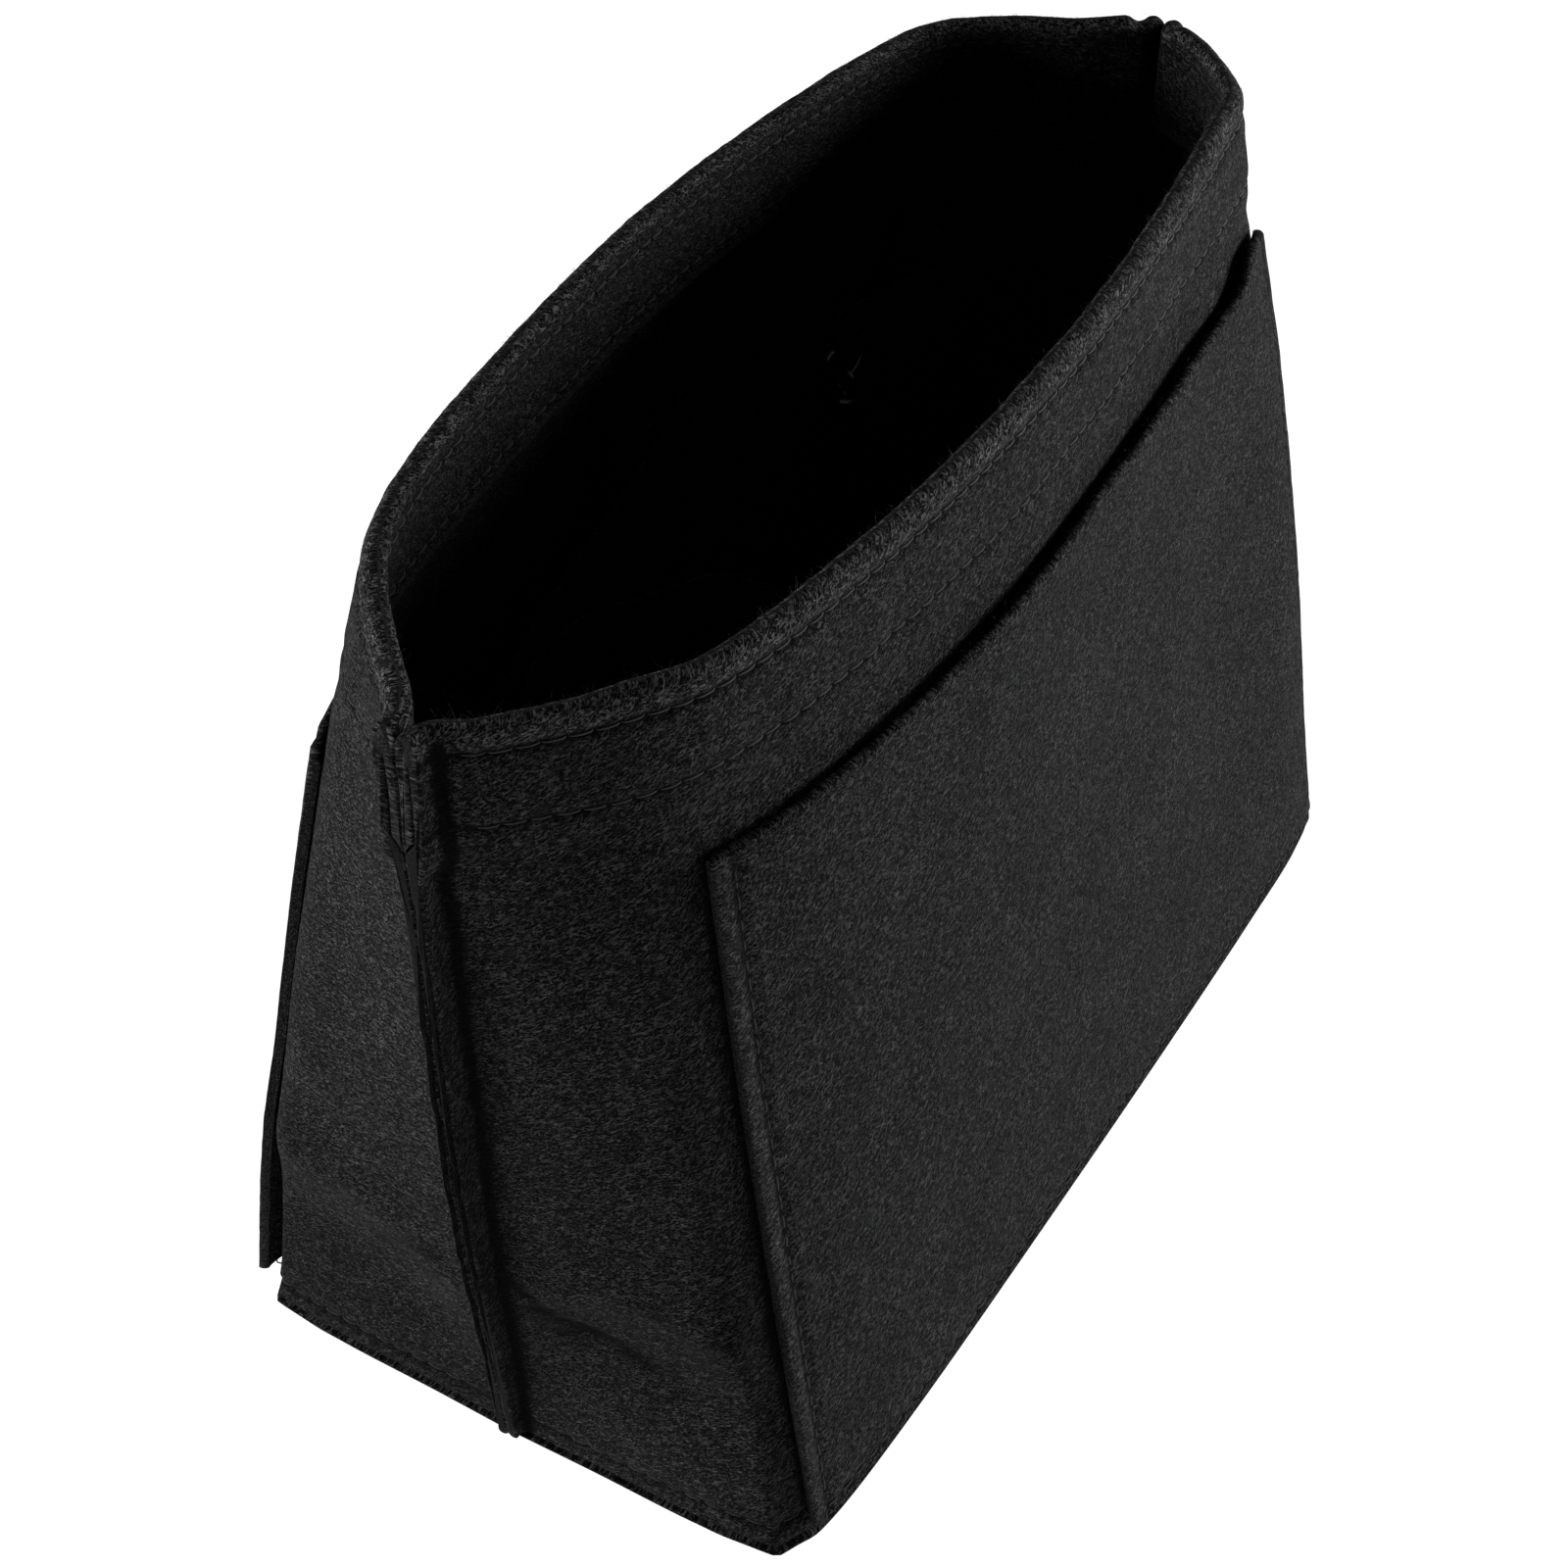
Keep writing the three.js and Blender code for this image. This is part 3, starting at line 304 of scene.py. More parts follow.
def groove(s, dz, depth=0.42, width=0.80, pitch=PITCH, s0=HOLE0):
    """Pull of a stitch line on the felt: a groove that is deepest at the needle holes."""
    ph = 0.5 + 0.5 * np.cos(2 * np.pi * (s - s0) / pitch)
    return depth * np.exp(-(dz / width) ** 2) * (0.55 + 0.75 * ph ** 2)


def puff(dz, width=1.9, amp=0.16):
    """The felt swells on both sides of a stitch line."""
    return amp * (np.exp(-((np.abs(dz) - 2.4) / width) ** 2))


# ------------------------------------------------------------- mesh making
def mesh_object(name, verts, faces, attrs=None, smooth_shade=True, uv=None):
    me = bpy.data.meshes.new(name)
    me.from_pydata([], [], [])
    verts = np.asarray(verts, dtype=np.float32) * MM
    me.vertices.add(len(verts))
    me.vertices.foreach_set("co", verts.ravel())
    sizes = np.array([len(f) for f in faces])
    loops = np.concatenate([np.asarray(f, dtype=np.int32) for f in faces]) if not isinstance(faces, np.ndarray) else faces.ravel()
    me.loops.add(len(loops))
    me.loops.foreach_set("vertex_index", loops.astype(np.int32))
    me.polygons.add(len(sizes))
    me.polygons.foreach_set("loop_start", np.concatenate([[0], np.cumsum(sizes)[:-1]]).astype(np.int32))
    me.update(calc_edges=True)
    me.validate()
    for key, val in (attrs or {}).items():
        a = me.attributes.new(key, "FLOAT_VECTOR", "POINT")
        a.data.foreach_set("vector", np.asarray(val, dtype=np.float32).ravel())
    if smooth_shade:
        me.polygons.foreach_set("use_smooth", np.ones(len(me.polygons), dtype=bool))
    o = bpy.data.objects.new(name, me)
    bpy.context.scene.collection.objects.link(o)
    return o


def fix_winding(verts, quads):
    """Signed volume of a closed mesh: flips the quads if it is negative."""
    v = np.asarray(verts, float)
    a, b, c, d = (v[quads[:, k]] for k in range(4))
    vol = np.einsum("ij,ij->i", a, np.cross(b, c)).sum() + np.einsum("ij,ij->i", a, np.cross(c, d)).sum()
    return quads[:, ::-1] if vol < 0 else quads


def grid_quads(n, m, closed_n=False, closed_m=True):
    i = np.arange(n if closed_n else n - 1)[:, None]
    k = np.arange(m if closed_m else m - 1)[None]
    i2, k2 = (i + 1) % n, (k + 1) % m
    return np.stack(np.broadcast_arrays(i * m + k, i2 * m + k, i2 * m + k2, i * m + k2), axis=-1).reshape(-1, 4)


def loft(name, G, grain, cap="fan", closed=False):
    """G is (stations, ring, 3): a closed tube of rings with its two ends closed by strips between paired ring points."""
    n, m = G.shape[:2]
    verts = G.reshape(-1, 3)
    quads = grid_quads(n, m, closed_n=closed)
    faces = quads
    if not closed:
        # ends: the ring is folded shut, point k against point m-1-k
        ends = []
        for base, flip in ((0, False), ((n - 1) * m, True)):
            for k in range(m // 2 - 1):
                q = [base + k, base + k + 1, base + m - 2 - k, base + m - 1 - k]
                ends.append(q[::-1] if flip else q)
        faces = np.concatenate([quads, np.array(ends)])
    faces = fix_winding(verts, faces)
    return mesh_object(name, verts, faces, {"grain": grain.reshape(-1, 3)})


def tubes(paths, radius, sides=6, flat=1.0, normal=None):
    """Closed tubes: paths (n, k, 3), radius (n, k) or number; returns verts, quads+tris. flat squeezes along the normals."""
    n, k = paths.shape[:2]
    t = np.zeros_like(paths)
    t[:, 1:-1] = paths[:, 2:] - paths[:, :-2]
    t[:, 0], t[:, -1] = paths[:, 1] - paths[:, 0], paths[:, -1] - paths[:, -2]
    t /= np.linalg.norm(t, axis=2, keepdims=True) + 1e-12
    ref = normal if normal is not None else np.broadcast_to(np.array([0.13, 0.21, 0.97]), paths.shape)
    b = np.cross(t, ref)
    b /= np.linalg.norm(b, axis=2, keepdims=True) + 1e-12
    nn = np.cross(b, t)
    r = np.broadcast_to(np.asarray(radius, float), (n, k)) if np.ndim(radius) else np.full((n, k), float(radius))
    q = 2 * np.pi * np.arange(sides) / sides
    V = paths[:, :, None] + r[:, :, None, None] * (np.cos(q)[None, None, :, None] * b[:, :, None] + flat * np.sin(q)[None, None, :, None] * nn[:, :, None])
    tips = paths[:, [0, -1]] + np.stack([-t[:, 0] * r[:, :1] * 0.6, t[:, -1] * r[:, -1:] * 0.6], axis=1)
    per = k * sides + 2
    verts = np.concatenate([V.reshape(n, k * sides, 3), tips], axis=1).reshape(-1, 3)
    i, j = np.arange(k - 1)[:, None], np.arange(sides)[None]
    j2 = (j + 1) % sides
    body = np.stack(np.broadcast_arrays(i * sides + j, i * sides + j2, (i + 1) * sides + j2, (i + 1) * sides + j), -1).reshape(-1, 4)
    jj = np.arange(sides)
    capa = np.stack([np.full(sides, k * sides), (jj + 1) % sides, jj], 1)
    capb = np.stack([np.full(sides, k * sides + 1), (k - 1) * sides + jj, (k - 1) * sides + (jj + 1) % sides], 1)
    off = (np.arange(n) * per)[:, None, None]
    quads = (body[None] + off).reshape(-1, 4)
    tris = (np.concatenate([capa, capb])[None] + off).reshape(-1, 3)
    return verts, quads, tris


def tube_object(name, paths, radius, sides=6, flat=1.0, normal=None, grain=None):
    verts, quads, tris = tubes(paths, radius, sides, flat, normal)
    me_faces = [list(q) for q in quads] + [list(t) for t in tris]
    # winding: test one tube
    a, b, c, d = (verts[quads[:, k]] for k in range(4))
    vol = np.einsum("ij,ij->i", a, np.cross(b, c)).sum() + np.einsum("ij,ij->i", a, np.cross(c, d)).sum()
    ta, tb, tc = (verts[tris[:, k]] for k in range(3))
    vol += np.einsum("ij,ij->i", ta, np.cross(tb, tc)).sum()
    if vol < 0:
        me_faces = [f[::-1] for f in me_faces]
    g = verts if grain is None else grain
    return mesh_object(name, verts, me_faces, {"grain": g})


def join_tubes(name, parts, grain=None):
    """parts: list of (verts, quads, tris)."""
    V, F, off = [], [], 0
    for v, q, t in parts:
        a, b, c, d = (v[q[:, k]] for k in range(4))
        vol = np.einsum("ij,ij->i", a, np.cross(b, c)).sum() + np.einsum("ij,ij->i", a, np.cross(c, d)).sum()
        ta, tb, tc = (v[t[:, k]] for k in range(3))
        vol += np.einsum("ij,ij->i", ta, np.cross(tb, tc)).sum()
        if vol < 0:
            q, t = q[:, ::-1], t[:, ::-1]
        V.append(v)
        F += (q + off).tolist() + (t + off).tolist()
        off += len(v)
    V = np.concatenate(V)
    return mesh_object(name, V, F, {"grain": V})


def grain_coords(a, b, angle, layer):
    """Coordinates along and across the fibres of a panel, from distances a along it and b up it."""
    c, s = np.cos(angle), np.sin(angle)
    return np.stack([a * c + b * s, -a * s + b * c, np.broadcast_to(layer, np.shape(a)).astype(float)], axis=-1)


# -------------------------------------------------------------- materials
def new_material(name):
    m = bpy.data.materials.new(name)
    m.use_nodes = True
    nt = m.node_tree
    nt.nodes.clear()
    out = nt.nodes.new("ShaderNodeOutputMaterial")
    bsdf = nt.nodes.new("ShaderNodeBsdfPrincipled")
    nt.links.new(bsdf.outputs[0], out.inputs[0])
    return m, nt, bsdf


def node(nt, kind, **props):
    n = nt.nodes.new(kind)
    for k, v in props.items():
        if k.startswith("i_"):
            n.inputs[k[2:].replace("_", " ")].default_value = v
        else:
            setattr(n, k, v)
    return n


def ramp(nt, stops, source):
    r = nt.nodes.new("ShaderNodeValToRGB")
    e = r.color_ramp.elements
    e[0].position, e[0].color = stops[0][0], (*stops[0][1], 1)
    e[1].position, e[1].color = stops[-1][0], (*stops[-1][1], 1)
    for p, c in stops[1:-1]:
        x = e.new(p)
        x.color = (*c, 1)
    nt.links.new(source, r.inputs[0])
    return r.outputs[0]


def mix(nt, a, b, factor, blend="MIX"):
    m = nt.nodes.new("ShaderNodeMix")
    m.data_type = "RGBA"
    m.blend_type = blend
    for sock, v in ((m.inputs["Factor"], factor), (m.inputs["A"], a), (m.inputs["B"], b)):
        if isinstance(v, (int, float)):
            sock.default_value = v
        elif isinstance(v, tuple):
            sock.default_value = (*v, 1)
        else:
            nt.links.new(v, sock)
    # the float Factor socket is the first one of the node
    if not isinstance(factor, (int, float)):
        nt.links.new(factor, m.inputs[0])
    else:
        m.inputs[0].default_value = factor
    return m.outputs["Result"]


def fibre_noise(nt, vec, along, across, detail=2.0, distortion=0.0, seed=0.0, roughness=0.5):
    """Noise stretched along the fibres: lengths in millimetres."""
    mp = nt.nodes.new("ShaderNodeMapping")
    mp.inputs["Scale"].default_value = (1 / along, 1 / across, 1.0)
    mp.inputs["Location"].default_value = (seed, seed * 1.7, seed * 0.37)
    nt.links.new(vec, mp.inputs["Vector"])
    n = nt.nodes.new("ShaderNodeTexNoise")
    n.noise_dimensions = "3D"
    n.inputs["Scale"].default_value = 1.0
    n.inputs["Detail"].default_value = detail
    n.inputs["Roughness"].default_value = roughness
    n.inputs["Distortion"].default_value = distortion
    nt.links.new(mp.outputs[0], n.inputs["Vector"])
    return n.outputs["Fac"]


def math_node(nt, op, a, b=0.0, clamp=False):
    m = nt.nodes.new("ShaderNodeMath")
    m.operation = op
    m.use_clamp = clamp
    for k, v in enumerate((a, b)):
        if isinstance(v, (int, float)):
            m.inputs[k].default_value = v
        else:
            nt.links.new(v, m.inputs[k])
    return m.outputs[0]


def strand_noise(nt, vec, along, across, turn, seed, low, high, distortion=0.9):
    """Short curly strands, 1 on a strand: the peaks of a stretched noise."""
    mp = node(nt, "ShaderNodeMapping")
    mp.inputs["Rotation"].default_value = (0.0, 0.0, turn)
    nt.links.new(vec, mp.inputs["Vector"])
    n = fibre_noise(nt, mp.outputs[0], along, across, detail=1.0, distortion=distortion, seed=seed, roughness=0.35)
    r = node(nt, "ShaderNodeMapRange")
    r.interpolation_type = "SMOOTHSTEP"
    r.inputs["From Min"].default_value, r.inputs["From Max"].default_value = low, high
    nt.links.new(n, r.inputs["Value"])
    return r.outputs[0]


def felt_material(name, dark=0.0004, mid=0.0030, light=0.062, bump=1.0):
    m, nt, bsdf = new_material(name)
    at = node(nt, "ShaderNodeAttribute", attribute_name="grain")
    vec = at.outputs["Vector"]
    a = strand_noise(nt, vec, 1.00, 0.30, 0.0, 3.1, 0.565, 0.66)               # curly fibres on top
    b = strand_noise(nt, vec, 0.85, 0.28, 0.60, 17.3, 0.585, 0.67)
    c3 = strand_noise(nt, vec, 0.80, 0.28, -0.55, 33.7, 0.60, 0.69)
    tangle = fibre_noise(nt, vec, 0.62, 0.36, detail=2.0, distortion=0.6, seed=29.9, roughness=0.6)
    clump = fibre_noise(nt, vec, 1.7, 1.0, detail=1.0, distortion=0.4, seed=23.0)
    big = fibre_noise(nt, vec, 26.0, 17.0, detail=3.0, distortion=0.3, seed=41.0)
    lint = fibre_noise(nt, vec, 5.0, 0.30, detail=0.0, distortion=2.4, seed=57.0)
    body = ramp(nt, [(0.40, (dark,) * 3), (0.60, (mid * 1.6,) * 3)], tangle)
    on = ramp(nt, [(0.38, (0.35,) * 3), (0.60, (1, 1, 1))], clump)
    s1 = math_node(nt, "MULTIPLY", math_node(nt, "MULTIPLY", a, on), 0.95)
    s2 = math_node(nt, "MULTIPLY", math_node(nt, "MULTIPLY", b, on), 0.85)
    s3 = math_node(nt, "MULTIPLY", c3, 0.62)
    lines = math_node(nt, "MAXIMUM", math_node(nt, "MAXIMUM", s1, s2), s3)
    c = mix(nt, body, (light,) * 3, lines)
    tone = ramp(nt, [(0.32, (0.84,) * 3), (0.68, (1.14,) * 3)], big)
    c = mix(nt, c, tone, 1.0, "MULTIPLY")
    hair = ramp(nt, [(0.735, (0, 0, 0)), (0.775, (1, 1, 1))], lint)
    c = mix(nt, c, (0.09,) * 3, math_node(nt, "MULTIPLY", hair, 0.5))
    # felt pressed under stitches is darker, and painted shade darkens its stitch grooves, the creases and the corners
    # beside seams and pocket edges (X); painted highlight lightens raw cut edges (Y) and the rim and the pocket's edges
    # (Z)
    press_and_painted_light = node(nt, "ShaderNodeAttribute", attribute_name="press_and_painted_light")
    sep = node(nt, "ShaderNodeSeparateXYZ")
    nt.links.new(press_and_painted_light.outputs["Vector"], sep.inputs[0])
    # painted highlight: Z brightens the rim and the pocket's edges
    c = mix(nt, c, math_node(nt, "ADD", math_node(nt, "MULTIPLY", sep.outputs["Z"], 0.95), 1.0), 1.0, "MULTIPLY")
    # painted highlight: Y lightens the raw cut edges
    c = mix(nt, c, (light * 0.55,) * 3, math_node(nt, "MULTIPLY", sep.outputs["Y"], 0.6, True))
    # pressed felt and painted shade: X darkens stitch lines, creases and corners
    c = mix(nt, c, (0.0005,) * 3, math_node(nt, "MULTIPLY", sep.outputs["X"], 0.94, True))
    nt.links.new(c, bsdf.inputs["Base Color"])
    rough = node(nt, "ShaderNodeMapRange")
    rough.inputs["From Min"].default_value, rough.inputs["From Max"].default_value = 0.0, 1.0
    rough.inputs["To Min"].default_value, rough.inputs["To Max"].default_value = 0.98, 0.80
    nt.links.new(lines, rough.inputs["Value"])
    nt.links.new(rough.outputs[0], bsdf.inputs["Roughness"])
    h = math_node(nt, "ADD", math_node(nt, "MULTIPLY", lines, 0.55), math_node(nt, "MULTIPLY", tangle, 0.60))
    bm_ = node(nt, "ShaderNodeBump")
    bm_.inputs["Strength"].default_value = bump
    bm_.inputs["Distance"].default_value = 0.00025
    nt.links.new(h, bm_.inputs["Height"])
    nt.links.new(bm_.outputs[0], bsdf.inputs["Normal"])
    bsdf.inputs["Specular IOR Level"].default_value = 0.04
    bsdf.inputs["Sheen Weight"].default_value = 0.015
    bsdf.inputs["Sheen Roughness"].default_value = 0.45
    bsdf.inputs["Sheen Tint"].default_value = (0.62, 0.62, 0.63, 1)
    return m


def fuzz_material(name, colour):
    m, nt, bsdf = new_material(name)
    at = node(nt, "ShaderNodeAttribute", attribute_name="grain")
    n = fibre_noise(nt, at.outputs["Vector"], 0.9, 0.9, detail=2.0, seed=7.0)
    c = ramp(nt, [(0.35, tuple(x * 0.45 for x in colour)), (0.65, tuple(x * 1.6 for x in colour))], n)
    nt.links.new(c, bsdf.inputs["Base Color"])
    bsdf.inputs["Roughness"].default_value = 0.6
    bsdf.inputs["Specular IOR Level"].default_value = 0.3
    return m


def thread_material(name):
    m, nt, bsdf = new_material(name)
    at = node(nt, "ShaderNodeAttribute", attribute_name="twist")
    sep = node(nt, "ShaderNodeSeparateXYZ")
    nt.links.new(at.outputs["Vector"], sep.inputs[0])
    # plies of the twisted thread run across it at a slant
    ph = math_node(nt, "ADD", math_node(nt, "MULTIPLY", sep.outputs[0], 9.0), sep.outputs[1])
    w = math_node(nt, "ABSOLUTE", math_node(nt, "SINE", ph))
    n = fibre_noise(nt, at.outputs["Vector"], 0.5, 0.5, detail=2.0, seed=2.0)
    hgt = math_node(nt, "ADD", math_node(nt, "MULTIPLY", w, 0.8), math_node(nt, "MULTIPLY", n, 0.3))
    # painted shade between the plies and painted highlight on their crests: the colour follows the plies' height
    c = ramp(nt, [(0.15, (0.0006,) * 3), (0.65, (0.0045,) * 3), (1.0, (0.030,) * 3)], hgt)
    nt.links.new(c, bsdf.inputs["Base Color"])
    b = node(nt, "ShaderNodeBump")
    b.inputs["Strength"].default_value = 0.8
    b.inputs["Distance"].default_value = 0.0001
    nt.links.new(hgt, b.inputs["Height"])
    nt.links.new(b.outputs[0], bsdf.inputs["Normal"])
    bsdf.inputs["Roughness"].default_value = 0.55
    bsdf.inputs["Specular IOR Level"].default_value = 0.25
    return m


def steel_material(name):
    m, nt, bsdf = new_material(name)
    tc = node(nt, "ShaderNodeTexCoord")
    mp = node(nt, "ShaderNodeMapping")
    mp.inputs["Scale"].default_value = (900, 900, 260)
    nt.links.new(tc.outputs["Object"], mp.inputs["Vector"])
    n = node(nt, "ShaderNodeTexNoise")
    n.inputs["Scale"].default_value, n.inputs["Detail"].default_value = 1.0, 4.0
    nt.links.new(mp.outputs[0], n.inputs["Vector"])
    c = ramp(nt, [(0.3, (0.17, 0.17, 0.175)), (0.7, (0.27, 0.27, 0.275))], n.outputs["Fac"])
    nt.links.new(c, bsdf.inputs["Base Color"])
    r = node(nt, "ShaderNodeMapRange")
    r.inputs["From Min"].default_value, r.inputs["From Max"].default_value = 0.3, 0.7
    r.inputs["To Min"].default_value, r.inputs["To Max"].default_value = 0.18, 0.34
    nt.links.new(n.outputs["Fac"], r.inputs["Value"])
    nt.links.new(r.outputs[0], bsdf.inputs["Roughness"])
    b = node(nt, "ShaderNodeBump")
    b.inputs["Strength"].default_value, b.inputs["Distance"].default_value = 0.12, 0.00006
    nt.links.new(n.outputs["Fac"], b.inputs["Height"])
    nt.links.new(b.outputs[0], bsdf.inputs["Normal"])
    bsdf.inputs["Metallic"].default_value = 1.0
    return m


FELT = felt_material("charcoal_felt")
FUZZ = fuzz_material("felt_fibres", (0.016, 0.016, 0.016))
THREAD = thread_material("black_thread")
STEEL = steel_material("nickel")


def finish_piece(o, material, body, slot, *replaced):
    o.data.materials.append(material)
    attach(o, body)
    if replaced:
        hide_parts(*replaced)
    return o


# ------------------------------------------------------------------- walls
def dense_rows(z0, z1, step, lines, fine=0.55, reach=2.2):
    out, z = [z0], z0
    while z < z1 - 1e-6:
        near = any(abs(z + fine / 2 - l) < reach for l in lines)
        z = min(z + (fine if near else step), z1)
        out.append(z)
    if len(out) > 2 and out[-1] - out[-2] < 0.2:
        out.pop(-2)
    return out


def wall_profile():
    """(d, z, kind) round the section of a wall. kinds: o outer, r rim, f facing, e its raw edge, s slit, i inner, b bottom."""
    rows = [(0.0, z, "o") for z in dense_rows(1.75, 177.9, 1.9, (BASE_STITCH_Z, HEM_STITCH_Z, RIM_STITCH_Z))]
    for q in np.linspace(0, np.pi, 15)[1:-1]:
        rows.append((T - T * np.cos(q), H - T + T * np.sin(q), "r"))
    down = dense_rows(FOLD_Z + 0.55, 177.9, 1.5, (HEM_STITCH_Z, RIM_STITCH_Z), fine=0.75, reach=1.6)[::-1]
    rows += [(2 * T, z, "f") for z in down]
    rows += [(2 * T - 0.25, FOLD_Z + 0.14, "e"), (1.5 * T, FOLD_Z, "e"), (T + 0.3, FOLD_Z + 0.12, "e"), (T + 0.1, FOLD_Z + 0.6, "e")]
    rows += [(T + 0.08, 160, "s"), (T + 0.06, 168, "s"), (T + 0.03, 175, "s"), (T - 0.03, 175, "s"), (T - 0.06, 168, "s"), (T - 0.08, 160, "s")]
    rows += [(T, z, "i") for z in dense_rows(1.75, FOLD_Z - 0.6, 3.4, ())[::-1]]
    rows += [(T - 0.25, 1.32, "b"), (T * 0.5, WALL_Z0, "b"), (0.25, 1.32, "b")]
    return rows


PROFILE = wall_profile()
PD = np.array([r[0] for r in PROFILE])
PZ = np.array([r[1] for r in PROFILE])
PK = np.array([r[2] for r in PROFILE])


def line_ridge(s, z, s0, z0, s1, z1, width, amp):
    """A short soft ridge (amp > 0) or valley along a segment, in panel coordinates."""
    dx, dz = s1 - s0, z1 - z0
    L = math.hypot(dx, dz)
    t = ((s - s0) * dx + (z - z0) * dz) / L
    d = np.abs((s - s0) * dz - (z - z0) * dx) / L
    along = smooth(-0.15 * L, 0.2 * L, t) * (1 - smooth(0.75 * L, 1.15 * L, t))
    return amp * np.exp(-(d / width) ** 2) * along


def creases(side, s, z):
    """Depth of the small sharp creases, in mm."""
    if side > 0:
        return line_ridge(s, z, 3.0, 47.0, 18.0, 43.0, 1.4, 0.35) + line_ridge(s, z, 6.0, 38.0, 24.0, 40.0, 2.0, 0.25)
    w = line_ridge(s, z, -3.5, 52.5, 3.0, 47.0, 1.1, 0.60) + line_ridge(s, z, -1.5, 49.5, 8.5, 44.6, 1.0, 0.62)
    w = w + line_ridge(s, z, 0.5, 45.0, 14.0, 40.2, 1.2, 0.70) + line_ridge(s, z, 9.0, 43.5, 26.0, 35.6, 1.7, 0.42)
    return w + line_ridge(s, z, 2.0, 40.5, 11.0, 37.0, 1.0, 0.45)


def seam_line(s, dz, pitch=PITCH, s0=HOLE0, width=0.62):
    """How dark a stitch line is painted: pressed felt with painted shade in its groove, darkest at the needle holes."""
    ph = 0.5 + 0.5 * np.cos(2 * np.pi * (s - s0) / pitch)
    return np.exp(-(dz / width) ** 2) * (0.62 + 0.6 * ph ** 4)


def wall_relief(side, s, z, x, y, fine=True):
    """Outward displacement of a wall's felt, in mm, at panel coordinates s along, z up."""
    k = 0 if side < 0 else 50
    total = s[..., -1:] if np.ndim(s) == 2 else 400.0
    w = 0.42 * noise(s / 47 + 3, z / 38 + 1, 11 + k) + 0.22 * noise(s / 17, z / 15, 12 + k)
    w = w * smooth(2, 24, z) * (1 - 0.6 * smooth(150, 172, z)) * smooth(0, 14, s) * smooth(0, 14, total - s)
    # the hem band waves a little between its two lines of stitches
    band = smooth(156, 160, z) * (1 - smooth(172, 175, z))
    w = w + band * (0.20 * noise(s / 8.5, z / 30, 13 + k) + 0.10 * noise(s / 3.6, z / 9, 14 + k))
    # slack above the pocket, and a dent where the hem ends inside
    w = w - 0.22 * np.exp(-((z - 154.0) / 2.2) ** 2)
    w = w + 0.28 * np.exp(-((z - 166.5) / 5.0) ** 2)
    if side < 0:
        # small creases beside the near seam, under the end's fold
        w = w - creases(side, s, z) + line_ridge(s, z, 5.0, 47.6, 15.0, 43.4, 1.0, 0.35) + line_ridge(s, z, 2.0, 54.0, 14.0, 51.0, 2.2, 0.3)
        # the far end's rim is drawn into faint slanting creases
        w = w + line_ridge(total - s, z, 4, 171, 20, 146, 3.0, -0.35)
    else:
        w = w - creases(side, s, z)
        for q in range(6):
            w = w + line_ridge(total - s, z, 16 + 9.5 * q, 158.5, 12.5 + 9.5 * q, 171.5, 1.3, -0.38)
    if fine:
        w = w + 0.055 * noise(s / 2.1, z / 2.1, 15 + k) + 0.03 * noise(s / 1.05, z / 1.05, 16 + k)
    return w


